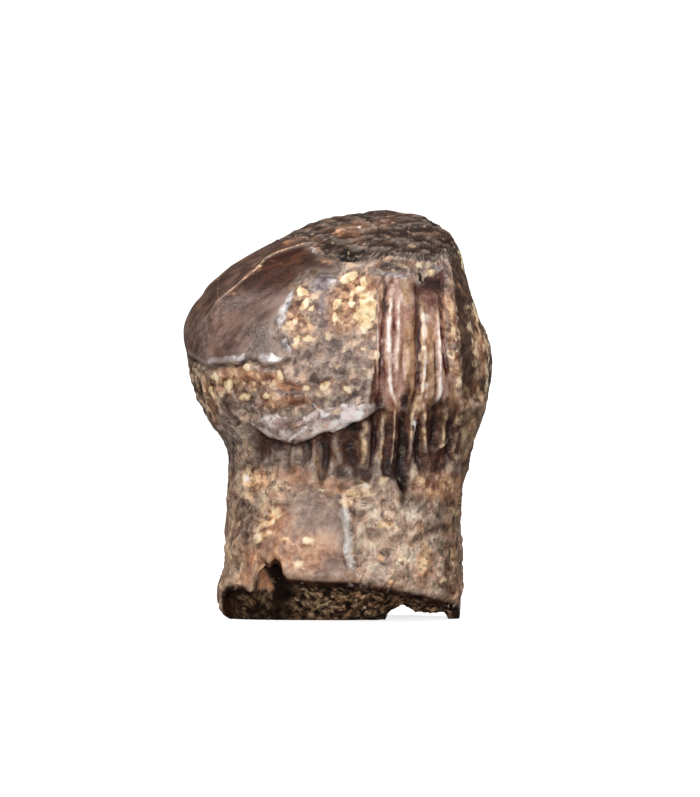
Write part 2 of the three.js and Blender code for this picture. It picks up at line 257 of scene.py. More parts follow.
SLANT_GROOVE = (
    [(4.65, 2.58), (5.0, 2.46), (5.3, 2.36), (6.0, 2.24), (6.9, 2.21), (7.4, 2.21)], 0.05, -0.045, -0.45,
)
BEADED_RIDGE = (
    [(4.6, 2.66), (4.9, 2.6), (5.35, 2.55), (6.0, 2.48), (6.55, 2.43), (7.5, 2.36)], 0.07, 0.06, 0.3,
)
# The top of the ridged band as (x, height), and its left edge as (height, x).
RIDGE_TOP = [(0.78, 7.25), (0.95, 7.48), (1.4, 7.44), (1.7, 7.36), (1.95, 7.44), (2.3, 7.4)]
RIDGED_LEFT = [(4.1, 0.6), (4.9, 0.66), (5.4, 0.74), (5.8, 0.8), (7.5, 0.82)]
# The same kind of lines up the neck, and the crest of the root.
NECK_RIDGES = [
    ([(3.35, 0.52), (3.8, 0.55), (4.28, 0.56)], 0.1, 0.08, 0.46),
    ([(3.42, 0.88), (3.9, 0.9), (4.45, 0.94)], 0.06, 0.07, 0.44),
    ([(3.45, 1.13), (3.9, 1.17), (4.5, 1.21), (4.8, 1.22)], 0.025, 0.05, 0.5),
    ([(3.55, 1.51), (3.95, 1.54), (4.45, 1.6), (4.8, 1.7)], 0.03, 0.06, 0.6),
    ([(3.5, 1.9), (3.9, 1.87), (4.3, 1.83), (4.7, 1.82)], 0.065, 0.07, 0.42),
    ([(3.8, 2.27), (4.05, 2.31), (4.45, 2.36), (4.7, 2.3)], 0.045, 0.06, 0.4),
    ([(3.65, 2.51), (4.0, 2.6), (4.4, 2.62)], 0.045, 0.06, 0.35),
    ([(3.7, 2.15), (3.95, 2.5)], 0.03, 0.04, 0.3),
    ([(3.4, -0.55), (3.9, -0.58)], 0.05, 0.04, 0.22),
    ([(3.35, 0.0), (3.7, -0.04), (4.05, -0.12)], 0.09, 0.05, 0.34),
    ([(3.6, -0.88), (4.0, -0.9)], 0.05, 0.04, 0.24),
    ([(3.3, -1.14), (3.62, -1.1), (3.8, -1.08)], 0.06, -0.06, -0.24),
    ([(3.55, -0.68), (3.96, -0.74)], 0.12, -0.07, -0.24),
    ([(3.3, -0.3), (4.0, -0.33)], 0.09, -0.09, -0.25),
    ([(3.4, 0.25), (4.3, 0.28)], 0.15, -0.09, -0.16),
    ([(3.3, 0.74), (4.4, 0.76)], 0.08, -0.09, -0.18),
    ([(2.9, 1.34), (3.6, 1.36), (4.5, 1.38)], 0.12, -0.1, -0.34),
    ([(3.45, 1.72), (4.3, 1.7)], 0.06, -0.08, -0.25),
    ([(3.6, 2.44), (4.3, 2.48)], 0.06, -0.07, -0.25),
    ([(3.8, 2.06), (4.7, 2.1)], 0.12, -0.06, -0.2),
]
ROOT_CREST = ([(1.1, 0.29), (1.25, 0.28), (1.5, 0.15), (1.85, 0.2), (2.15, 0.13), (2.5, 0.14), (2.8, 0.07)],
              0.1, 0.08, 1)

# Edges on the near face: of the smooth enamel, the cutting edge, the worn tip, the neck's lip, the strip
# at the right and the neck. Those that run up the tooth are (height, x), the others (x, height).
ENAMEL_BOTTOM = [
    (-3.3, 5.8), (-3.08, 5.66), (-2.86, 5.54), (-2.53, 5.59), (-2.22, 5.59), (-1.98, 5.73),
    (-1.78, 5.66), (-1.66, 5.55), (-1.32, 5.57), (-1.1, 5.72),
]
ENAMEL_RIGHT = [
    (5.73, -1.1), (5.86, -1.19), (6.08, -1.33), (6.28, -1.37), (6.5, -1.34), (6.65, -1.23),
    (6.92, -1.1), (7.11, -1.01), (7.3, -0.92), (7.5, -0.8),
]
CUTTING_EDGE = [
    (-3.4, 5.4), (-3.13, 6.01), (-2.89, 6.56), (-2.6, 6.94), (-2.29, 7.18), (-2.05, 7.38),
    (-1.76, 7.62), (-1.61, 7.82), (-1.32, 7.97), (-1.06, 8.06), (-0.57, 8.22),
]
TIP_EDGE = [
    (-0.8, 8.5), (-0.57, 8.26), (-0.4, 8.0), (-0.07, 7.86), (0.75, 7.86), (1.37, 7.93),
    (2.03, 7.8), (2.36, 8.0), (2.6, 8.1),
]
LIP_TOP = [
    (-2.05, 4.3), (-1.83, 4.47), (-1.4, 4.5), (-1.06, 4.4), (-0.84, 4.38), (-0.5, 4.62),
    (-0.2, 4.68), (0.15, 4.68), (0.5, 4.76), (0.8, 4.74),
]
LIP_BOTTOM = [
    (-2.05, 4.28), (-1.82, 4.2), (-1.48, 3.97), (-1.08, 3.88), (-0.75, 3.92), (-0.31, 4.12),
    (0.0, 4.16), (0.39, 4.32), (0.68, 4.46), (0.97, 4.62),
]
STRIP_LEFT = [(4.5, 2.8), (4.9, 2.7), (5.2, 2.67), (6.1, 2.64), (7.0, 2.54), (8.0, 2.4)]
NECK_BOTTOM = [
    (-2.2, 3.9), (-1.9, 3.7), (-1.3, 3.6), (-0.9, 3.5), (-0.4, 3.3), (0.2, 3.25), (0.9, 3.3), (1.2, 3.05),
    (1.5, 3.05), (1.8, 3.4), (2.3, 3.55), (2.7, 3.75),
]
# The height over which the mark of the cutting edge rises from 0 to 1.
LINE_SPAN = 0.6

# Ovals on the near face, each as (x, height, half width, half height) and, where they aren't 1 and 0,
# its strength and its lean in degrees. First the flakes of cream crust on the crown.
CREAM_FLAKES = [
    (-0.82, 7.14, 0.12, 0.095), (-0.76, 6.85, 0.07, 0.14, 1, -20), (-0.6, 6.76, 0.08, 0.055),
    (-0.97, 6.48, 0.065, 0.065), (-0.93, 6.06, 0.055, 0.13, 1, -15), (-0.7, 6.12, 0.09, 0.07),
    (0.1, 7.37, 0.14, 0.07, 1, 35), (0.26, 7.49, 0.13, 0.07, 1, 15), (-0.07, 6.85, 0.06, 0.11, 1, -35),
    (-0.11, 6.56, 0.055, 0.15, 1, -10), (0.26, 6.96, 0.055, 0.18), (0.44, 7.2, 0.1, 0.1),
    (0.6, 6.88, 0.19, 0.22), (0.53, 6.62, 0.23, 0.2), (0.54, 6.38, 0.12, 0.17),
    (0.5, 7.36, 0.06, 0.11, 1, -20), (0.49, 5.88, 0.075, 0.06), (0.82, 5.75, 0.06, 0.1),
    (-0.73, 5.07, 0.075, 0.06), (-0.29, 5.11, 0.13, 0.075, 1, 35), (0.18, 5.02, 0.08, 0.07),
    (-2.42, 5.13, 0.09, 0.12, 1, -15), (-2.71, 5.31, 0.11, 0.055), (-1.98, 5.5, 0.1, 0.06),
    (-2.05, 4.89, 0.09, 0.06), (-1.61, 4.89, 0.1, 0.06), (-2.9, 5.02, 0.05, 0.12, 1, 20),
    (0.1, 5.86, 0.04, 0.04), (-1.28, 5.35, 0.06, 0.08), (1.72, 7.72, 0.07, 0.06), (2.02, 7.6, 0.07, 0.05),
    (-1.76, 7.62, 0.07, 0.045, 1, 30),
]
# Small bright spots on the root: pale bone, partly painted highlight.
ROOT_GLEAMS = [
    (-2.05, 3.08, 0.12, 0.17), (-1.96, 2.73, 0.1, 0.08, 0.6), (-1.6, 2.36, 0.26, 0.13, 0.5, 10),
    (-1.4, 2.37, 0.12, 0.08, 1, 20), (-1.55, 2.15, 0.33, 0.05, 1, 33), (-1.76, 1.83, 0.13, 0.09, 1, 35),
    (-1.55, 1.94, 0.09, 0.05, 0.8, 20), (-1.14, 1.76, 0.16, 0.05, 0.7, -15),
    (-0.68, 1.74, 0.11, 0.07, 1, 20), (-0.88, 1.24, 0.12, 0.1, 0.6), (-2.36, 1.67, 0.09, 0.13, 0.6),
    (0.14, 2.62, 0.09, 0.12, 0.8), (0.56, 2.93, 0.12, 0.1, 1, 20), (0.94, 3.06, 0.12, 0.09, 0.8),
    (0.31, 2.86, 0.2, 0.08, 0.6, 20), (0.99, 2.1, 0.14, 0.1, 0.6, 30), (0.9, 1.38, 0.1, 0.07, 0.8),
    (1.34, 1.38, 0.08, 0.07), (1.14, 1.06, 0.07, 0.09, 0.6), (1.1, 0.86, 0.07, 0.12, 0.8),
    (1.8, 1.38, 0.12, 0.31, 0.5, -15), (2.25, 0.88, 0.1, 0.08, 0.7), (2.44, 2.47, 0.07, 0.05),
    (2.56, 1.6, 0.05, 0.21, 0.7),
]
# Golden crust, orange stains, a bluish sheen that is mostly painted highlight, black pits and gaps
# that are painted shade, and red-brown hollows.
GOLD_PATCHES = [
    (-0.92, 6.55, 0.27, 0.5), (0.12, 6.85, 0.3, 0.6, 1, -8), (-2.1, 5.28, 0.8, 0.26),
    (0.0, 8.5, 0.16, 0.07, 1, 10), (0.95, 7.8, 0.22, 0.07, 1, 30), (1.3, 7.78, 0.3, 0.05, 1, -5),
    (0.45, 7.3, 0.4, 0.3), (-1.78, 3.06, 0.3, 0.26), (-1.52, 2.37, 0.26, 0.2, 1, 30),
    (-0.68, 1.7, 0.2, 0.12), (-0.86, 1.28, 0.13, 0.13), (0.99, 2.12, 0.16, 0.14, 1, 30),
    (1.13, 0.86, 0.08, 0.12), (1.83, 1.39, 0.12, 0.32, 1, -15), (2.1, 3.0, 0.45, 0.2, 1, -10),
    (2.46, 6.2, 0.13, 1.1, 1, 4), (3.1, 5.8, 0.1, 0.5), (3.05, 5.0, 0.1, 0.3, 1, 15), (1.5, 7.0, 0.1, 0.2),
    (2.75, 4.75, 0.2, 0.3), (-2.95, 4.95, 0.2, 0.4, 1, 15), (-1.2, 4.75, 0.5, 0.14), (-1.3, 4.0, 0.3, 0.1),
    (0.4, 2.8, 0.35, 0.16, 1, 30), (2.6, 1.5, 0.06, 0.3), (-2.4, 1.55, 0.12, 0.2),
]
RUST_PATCHES = [
    (-0.45, 8.05, 0.05, 0.14, 0.7, 20), (-0.28, 7.75, 0.14, 0.05, 0.7, -20),
    (-1.93, 7.6, 0.2, 0.05, 0.6, 40), (-1.12, 8.23, 0.13, 0.05, 0.6, 30), (-2.31, 7.07, 0.07, 0.06),
    (-2.05, 0.95, 0.3, 0.18, 0.7), (0.3, 8.52, 0.42, 0.18, 0.5, 5), (0.95, 8.72, 0.3, 0.08, 0.4),
    (-0.85, 1.55, 0.75, 0.42), (-1.4, 2.15, 0.4, 0.3, 1, 30), (0.1, 6.6, 0.3, 0.45),
    (-0.85, 6.35, 0.22, 0.25), (2.1, 2.98, 0.5, 0.28, 1, -5), (1.83, 1.3, 0.2, 0.4, 1, -15),
    (-1.1, 5.1, 0.3, 0.1), (-0.2, 2.95, 0.4, 0.16), (-0.95, 3.15, 0.35, 0.2),
    (-1.05, 1.38, 0.55, 0.28, 1, -10), (-1.9, 1.35, 0.25, 0.25, 0.7, 20), (1.75, 2.0, 0.12, 0.2, 0.5),
]
LILAC_SHEEN_PATCHES = [
    (-0.37, 7.31, 0.28, 0.17, 1, 15), (-1.13, 6.85, 0.05, 0.26, 1, -16), (-2.2, 5.7, 0.3, 0.07),
    (-1.52, 5.7, 0.22, 0.09, 1, -5), (-2.6, 5.68, 0.2, 0.06), (-1.15, 5.95, 0.08, 0.2, 1, 30),
    (1.15, 7.5, 0.34, 0.035, 1, -6), (2.1, 7.66, 0.12, 0.08), (-0.4, 8.36, 0.14, 0.05, 1, -40),
    (-0.55, 7.98, 0.05, 0.12, 1, 30), (-0.38, 6.85, 0.07, 0.22),
]
DARK_PATCHES = [
    (0.3, 7.97, 0.26, 0.15), (0.15, 7.86, 0.2, 0.05), (1.75, 7.45, 0.05, 0.12),
    (1.15, 8.13, 0.24, 0.07, 0.6), (1.75, 8.3, 0.2, 0.05, 0.6, -15), (2.2, 8.02, 0.12, 0.06, 0.7, -20),
]
RED_HOLLOWS = [
    (1.0, 7.66, 0.2, 0.11), (1.28, 7.6, 0.14, 0.09, 1, -30), (0.98, 7.05, 0.05, 0.4, 1, 4),
    (2.0, 7.3, 0.22, 0.14), (0.86, 4.5, 0.1, 0.3), (1.4, 4.75, 0.1, 0.2), (-0.95, 3.85, 0.09, 0.14),
    (-0.35, 3.7, 0.08, 0.3), (1.72, 6.0, 0.03, 0.9), (-1.35, 3.8, 0.1, 0.12), (2.05, 4.6, 0.15, 0.1),
    (0.1, 3.3, 0.16, 0.12),
]

# Soft darkening, mostly painted shade with some darker staining, and then white glints that are painted
# highlights, in the same form.
SHADES = [
    (2.3, 4.4, 0.3, 0.2, 0.45), (2.2, 4.72, 0.26, 0.14, 0.95, -10), (2.05, 7.25, 0.3, 0.2, 0.45),
    (1.5, 7.3, 0.2, 0.16, 0.4), (2.0, 6.9, 0.3, 0.3, 0.3), (2.85, 5.0, 0.18, 0.35, 0.6, 10),
    (2.8, 5.7, 0.14, 0.4, 0.35, 5), (0.75, 4.75, 0.16, 0.4, 0.35, -8), (0.35, 3.35, 0.16, 0.3, 0.5),
    (-1.2, 3.92, 0.55, 0.1, 0.6, -12), (1.36, 2.8, 0.14, 0.36, 0.75), (1.75, 2.6, 0.3, 0.12, 0.5, -15),
    (-2.12, 2.3, 0.34, 0.32, 0.35), (2.3, 2.2, 0.18, 0.32, 0.6), (1.62, 1.77, 0.12, 0.06, 0.6, 40),
    (-1.95, 4.65, 0.1, 0.3, 0.45, 10), (2.32, 1.67, 0.12, 0.14, 0.6), (2.35, 0.75, 0.25, 0.12, 0.4, -10),
    (-2.5, 0.66, 0.5, 0.08, 0.45), (-0.5, 2.35, 0.5, 0.25, 0.15), (-0.3, 0.92, 0.9, 0.07, 0.2),
    (0.9, 0.8, 0.6, 0.1, 0.35, -10), (0.5, 8.85, 1.6, 0.16, 0.35, 6), (-3.15, 6.2, 0.14, 0.6, 0.35),
    (-1.0, 2.55, 0.5, 0.1, 0.3, 10), (0.4, 3.1, 1.5, 0.25, 0.3), (-1.7, 3.75, 0.7, 0.5, 0.5),
    (-0.9, 3.5, 0.4, 0.2, 0.35), (1.2, 7.7, 1.1, 0.2, 0.45), (1.6, 8.4, 1.2, 0.3, 0.4, -10),
    (2.75, 4.15, 0.25, 0.5, 0.3), (-0.75, 5.85, 0.3, 0.25, 0.15), (0.55, 2.4, 0.3, 0.05, 0.4, 25),
    (-1.05, 3.35, 0.12, 0.14, 0.6), (0.0, 2.95, 0.12, 0.1, 0.5), (-0.1, 8.2, 0.3, 0.12, 0.5),
    (1.25, 5.35, 0.2, 0.06, 0.15), (0.4, 1.75, 0.1, 0.3, 0.3), (1.2, 0.6, 0.2, 0.06, 0.5, -10),
    (-0.5, 8.42, 0.32, 0.2, 0.35), (2.25, 8.15, 0.2, 0.25, 0.3), (2.42, 1.25, 0.12, 0.4, 0.35),
    (2.1, 1.95, 0.2, 0.12, 0.3, -20), (2.38, 2.55, 0.1, 0.12, 0.4), (1.95, 2.4, 0.14, 0.1, 0.3, 30),
]
PAINTED_GLINTS = [
    (0.02, 4.19, 0.3, 0.045, 1, 14), (0.4, 4.5, 0.16, 0.1, 1, 25), (-0.42, 4.56, 0.2, 0.06, 1, -50),
    (-0.28, 4.5, 0.16, 0.05, 0.9, 20), (-0.9, 4.12, 0.36, 0.06, 0.8, 40), (-1.5, 4.2, 0.3, 0.06, 0.3, -35),
    (0.12, 4.66, 0.24, 0.04, 0.6, 12), (0.3, 4.32, 0.2, 0.04, 0.8, 25), (-0.3, 4.1, 0.26, 0.05, 0.6, 10),
    (-1.22, 6.6, 0.1, 0.36, 0.7, -14), (-1.2, 6.2, 0.1, 0.2, 0.4, 10), (-2.2, 5.72, 0.3, 0.07, 0.7),
    (-1.42, 5.68, 0.22, 0.07, 0.8), (-2.75, 5.62, 0.25, 0.05, 0.5, -12), (-0.2, 7.34, 0.16, 0.12, 0.7, 20),
    (0.8, 5.1, 0.1, 0.14, 0.4), (0.86, 5.5, 0.04, 0.25, 0.6), (1.1, 5.6, 0.035, 0.8, 0.7),
    (1.84, 5.6, 0.035, 0.8, 0.8), (1.63, 4.3, 0.035, 0.3, 0.9, 5), (0.4, 8.6, 0.1, 0.03, 0.8),
    (-0.3, 8.45, 0.14, 0.05, 0.5, -20), (0.95, 7.42, 0.2, 0.025, 0.6, 10), (1.55, 1.55, 0.1, 0.1, 0.4),
    (0.2, 2.75, 0.05, 0.1, 0.3), (1.9, 4.95, 0.12, 0.12, 0.4), (-2.05, 3.08, 0.1, 0.13, 0.8),
    (0.56, 2.95, 0.11, 0.09, 0.8, 20), (-1.76, 1.84, 0.1, 0.06, 0.7, 35), (1.05, 1.38, 0.1, 0.07, 0.6),
    (-1.42, 2.38, 0.09, 0.06, 0.6, 20),
]

# How far each kind of surface stands out in mm, how much rougher or smoother than plain it is, and how
# far a point stands from its surroundings, in mm, where it counts as fully low or high: full painted
# shade when low, full painted highlight when high.
RAISED = {
    "enamel": 0.07, "lip": 0.05, "neck": -0.1, "strip": -0.07, "ridged": -0.03,
    "dark": -0.03, "shade": -0.04, "cream": 0.025, "gleam": 0.02,
}
ROUGHENED = {"chipped": 0.35, "root": 0.55, "tip": 0.5, "rims": 0.3}
SMOOTHED = {"enamel": 0.85, "outer": 0.8, "ridged": 0.7, "strip": 0.8, "smooth_root": 0.7, "lip": 0.5}
FULL_SHADING_STEP = 0.02


def line_share(s, line, ends=0.12):
    """How close each point of the near face is to a line up it, from 0 to 1."""
    points, half_width = line[:2]
    x = follow(points, s.z)
    low, high = points[0][0], points[-1][0]
    along = over(s.z, low, ends) * (1 - over(s.z, high, ends))
    return bell(s.wavy_x - x, half_width * s.swell) * along * s.front


def oval_share(s, soft, x, z, half_width, half_height, strength=1, lean=0):
    """The strength inside a leaning oval, 0 well outside it."""
    c, d = math.cos(math.radians(lean)), math.sin(math.radians(lean))
    u = (s.ragged_x - x) * c + (s.ragged_z - z) * d
    v = (s.ragged_z - z) * c - (s.ragged_x - x) * d
    reach = np.hypot(u / half_width, v / half_height)
    return strength * (1 - over(reach, 1, soft))


def ovals_share(s, shapes, soft):
    return np.max([oval_share(s, soft, *shape) for shape in shapes], axis=0) * s.front


class Surface:
    """The tooth's plain wall as a grid of points, with the relief and the marks laid on it."""

    def __init__(self, angle, along, rim_height):
        grid, across, depth = plain_wall(angle, along)
        self.shape = grid.shape[:2]
        self.points = grid.reshape(-1, 3)
        self.normals = wall_normals(angle, along).reshape(-1, 3)
        spread = [np.broadcast_to(part, self.shape).ravel() for part in (angle, across, depth)]
        self.angle, self.across, self.depth = spread
        self.x, _, self.z = self.points.T
        self.above_break = (along - rim_height).ravel()
        self.back = rise(self.depth, 0.0, 0.35)
        wander = noise(self.points, 2.2, 11) - 0.5
        ragged = fractal(self.points, 7.0, 21) - 0.5
        ragged_too = fractal(self.points, 7.0, 31) - 0.5
        behind = rise(self.depth, -0.85, 0.0)
        drift = behind * (fractal(self.points, 1.1, 23, 3) - 0.5)
        drift_too = behind * (fractal(self.points, 1.1, 33, 3) - 0.5)
        self.wavy_x = self.x + 0.03 * wander + 0.03 * ragged
        self.swell = 0.65 + 0.7 * noise(self.points * (1, 1, 0.6), 5, 35)
        self.ragged_x = self.x + 0.2 * ragged + 1.6 * drift
        self.ragged_z = self.z + 0.2 * ragged_too + 1.6 * drift_too
        self.side = self.depth + 1.2 * drift
        self.front = rise(-self.side, 0.0, 0.3)
        self.marks = {}

    def mark(self, name, share):
        self.marks[name] = np.clip(share, 0, 1)


def add_root(s):
    """The root stump: its smooth and pale parts, its dark flank, its crest with a painted highlight and its
    broken edge with a partly painted shade.
    """
    x, z, front = s.ragged_x, s.ragged_z, s.front
    root_line = 3.2 + 0.12 * np.sin(2.1 * s.angle + 0.6)
    root = 1 - over(z, root_line, 0.3)
    smooth_top = 2.15 + 0.45 * rise(s.x, -1.4, -0.9) + 0.5 * (noise(s.points, 1.6, 49) - 0.5)
    smooth_root = rise(x, -1.95, -1.25) * fall(s.x, 0.05, 0.25) * front
    smooth_root = smooth_root * (1 - over(z, smooth_top, 0.15))
    pale_root = rise(s.x, 0.25, 0.5) * fall(s.x, 2.1, 2.5) * fall(z, 2.4, 2.8) * front
    flank = rise(s.x, 2.15, 2.45) * root + rise(s.x, 2.55, 2.75) * fall(z, 4.4, 4.7)
    s.mark("root", root)
    s.mark("smooth_root", smooth_root * root)
    s.mark("pale_root", pale_root)
    s.mark("dark_root", flank * front)
    # The crest's pale streak is a painted highlight.
    s.mark("root_crest", rise(fractal(s.points, 4, 67, 3), 0.15, 0.45) * line_share(s, ROOT_CREST, 0.2))
    # The dark band under the broken edge is partly painted shade.
    s.mark("break_edge", fall(s.above_break, 0.02, 0.2) * (1 - notch_fold(s.x, s.z)))


def add_enamel(s):
    """The worn tip and the smooth enamel beside the cutting edge. Gives the share they leave bare."""
    x, z, front = s.ragged_x, s.ragged_z, s.front
    wander = fractal(s.points, 1.4, 27, 3) - 0.5
    tip_edge = follow(TIP_EDGE, x + 1.6 * wander * rise(s.z, 7.9, 8.3))
    tip = rise(z, tip_edge - 0.2, tip_edge + 0.16) * front + rise(z, 8.1, 8.3) * (1 - front)
    above_cut = s.z - follow(CUTTING_EDGE, s.x)
    outer = rise(above_cut, -0.02, 0.04) * rise(-x, 0.4, 0.6) * front * rise(s.z, 6.3, 7.0)
    bottom = follow(ENAMEL_BOTTOM, s.x)
    right = follow(ENAMEL_RIGHT, s.z)
    sheet = over(s.z, bottom, 0.03) * over(-x, -right, 0.05)
    upper = rise(z, 7.42, 7.55) * rise(-x, -0.08, 0.08)
    enamel = np.maximum(sheet, upper) * front * (1 - tip)
    on_edge = rise(-s.x, 0.4, 0.6) * fall(-s.x, 2.55, 2.75) * front * (1 - tip)
    s.mark("tip", tip)
    s.mark("outer", outer * (1 - tip))
    s.mark("enamel", enamel * (1 - outer))
    s.mark("brown", rise(s.z - 0.1 * s.x, 6.9, 7.6) * enamel * (1 - outer))
    # The line along the cutting edge, which gets a painted highlight.
    s.mark("edge_line", np.where(on_edge > 0.5, 0.5 + above_cut / LINE_SPAN, 0))
    return (1 - tip) * (1 - outer) * (1 - enamel)


def add_lip(s):
    """The pale lip that overhangs the neck."""
    z, bottom, top = s.ragged_z, follow(LIP_BOTTOM, s.x), follow(LIP_TOP, s.x)
    lip = over(z, bottom, 0.04) * (1 - over(z, top, 0.12))
    s.mark("lip", lip * rise(s.x, -2.05, -1.75) * rise(-s.x, -0.9, -0.7) * s.front)


def add_ridged_band(s):
    """The glossy band of ridges, and the smooth strip at its right."""
    x, z = s.ragged_x, s.ragged_z
    slant = follow(SLANT_GROOVE[0], s.z)
    left = follow(RIDGED_LEFT, s.z)
    top = follow(RIDGE_TOP, s.x) + 0.5 * (noise(s.points * (1, 0, 0.2), 4, 43) - 0.5)
    ridged = over(s.wavy_x, left, 0.04) * fall(s.x, slant + 0.02, slant + 0.1) * s.front
    s.mark("ridged", ridged * rise(z, 3.9, 4.3) * (1 - over(z, top, 0.14)))
    strip_left = follow(STRIP_LEFT, s.z)
    strip = rise(0.5 * s.wavy_x + 0.5 * x, strip_left - 0.06, strip_left + 0.08)
    s.mark("strip", strip * fall(s.side, -0.2, 0.3) * rise(z, 4.5, 4.9) * fall(z, 7.7, 8.3))


def add_neck(s):
    """The grooved neck, from the lip down to a fingered edge on the root."""
    fingers = noise(s.points * (1, 0, 0.1), 5, 47) - 0.5
    right_part = rise(s.x, 0.9, 1.3)
    top = follow(LIP_BOTTOM, s.x) + right_part * (0.05 + 0.7 * fingers)
    blur = 0.05 + 0.35 * right_part
    bottom = follow(NECK_BOTTOM, s.x) + fingers
    neck = rise(s.ragged_z, bottom - 0.28, bottom + 0.22) * (1 - over(s.z, top, blur))
    s.mark("neck", neck * s.front * rise(s.x, -2.2, -1.4) * fall(s.x, 2.55, 2.75))


def add_rims(s):
    """The chipped rims at both sides of the crown."""
    place = np.abs(s.across) + 0.04 * rise(s.x, 0, 0.5) + 0.1 * (fractal(s.points, 3, 59) - 0.5)
    rims = rise(place, 0.93, 0.98) * (1 - s.marks["root"]) * (1 - s.marks["outer"])
    rims = rims * (1 - rise(s.x, 0, 0.5) * rise(s.z, 6.6, 7.2))
    rims = rims * (1 - rise(-s.x, 0, 0.5) * rise(s.z, 5.5, 5.9))
    s.mark("rims", rims * rise(s.ragged_z, 3.9, 4.5))


def add_patches(s):
    """Crusts, stains, painted shade and painted highlights at the places that are listed above, and a broken
    line down the right.
    """
    right_line = bell(s.depth + 0.2 + 0.15 * (fractal(s.points, 4, 57) - 0.5), 0.06) * rise(s.x, 1, 1.2)
    right_line = 0.8 * right_line * rise(fractal(s.points * (1, 1, 0.9), 5, 53), 0.48, 0.6)
    right_line = right_line * rise(s.z, 4.4, 5.0) * fall(s.z, 8.2, 8.4)
    s.mark("cream", np.maximum(ovals_share(s, CREAM_FLAKES, 0.6), right_line))
    halos = [(x, z, 1.9 * w, 1.9 * h, 0.7, *rest[1:]) for x, z, w, h, *rest in CREAM_FLAKES]
    patches = {
        "gold": (GOLD_PATCHES + halos, 0.8), "gleam": (ROOT_GLEAMS, 0.9), "rust": (RUST_PATCHES, 0.9),
        "lilac_sheen": (LILAC_SHEEN_PATCHES, 0.7), "dark": (DARK_PATCHES, 0.7), "red_hollow": (RED_HOLLOWS, 0.8),
        "shade": (SHADES, 0.9), "painted_glint": (PAINTED_GLINTS, 0.8),
    }
    for name, (shapes, soft) in patches.items():
        s.mark(name, ovals_share(s, shapes, soft))


def add_tones(s):
    """How light each ridge and groove is: 0.5 is about the plain tone between them."""
    streaks = fractal(s.points * (1, 1, 0.15), 6, 45) - 0.5
    broken = fractal(s.points * (1, 1, 0.5), 7, 133, 3) - 0.5
    tone = 0.47 + 0.36 * streaks - 0.3 * rise(s.z, 6.6, 7.2) * rise(s.x, 1.45, 1.75)
    tone = tone - 0.14 * fall(s.z, 4.3, 5.1)
    tone = tone - 0.16 * fall(s.x, 0.9, 1.05) * fall(s.z, 5.4, 5.9)
    lines = sum(line[3] * line_share(s, line) for line in RIDGES + [SLANT_GROOVE])
    s.mark("ridge_tone", tone + lines * np.clip(0.7 + 5 * broken, 0.1, 1.3))
    gilt = fractal(s.points * (1, 1, 0.12), 4.5, 149, 3) + 0.1 * bell(s.x - 1.5, 0.15)
    s.mark("ridge_gold", s.marks["ridged"] * rise(gilt, 0.46, 0.6))
    beads = rise(noise(s.points * (1, 1, 0.9), 8, 137), 0.25, 0.7)
    tone = 0.44 - 0.1 * rise(s.x, -0.4, 0.2) + 0.1 * rise(s.x, 1.8, 2.4) + 0.5 * streaks
    tone = tone + 0.3 * rise(s.z, 4.0, 4.7) * rise(s.x, 0.8, 1.1) * fall(s.x, 1.7, 2.0)
    lines = sum(line[3] * line_share(s, line) for line in NECK_RIDGES)
    s.mark("neck_tone", tone + lines * np.where(lines > 0, 0.3 + 1.1 * beads, 1))


def add_regions(s):
    """Where each kind of surface is: from outlines on the near face, and from noise elsewhere."""
    add_root(s)
    bare = add_enamel(s)
    add_lip(s)
    add_ridged_band(s)
    add_neck(s)
    add_rims(s)
    add_patches(s)
    add_tones(s)
    for name in ("ridged", "strip", "neck"):
        bare = bare * (1 - s.marks[name])
    lost = np.maximum(rise(fractal(s.points, 1.1, 41), 0.5, 0.6), fall(s.ragged_z, 3.5, 4.1))
    lost = lost * (1 - s.front) * (1 - s.marks["outer"])
    s.mark("chipped", np.maximum(bare * s.front, lost) * (1 - s.marks["root"]))


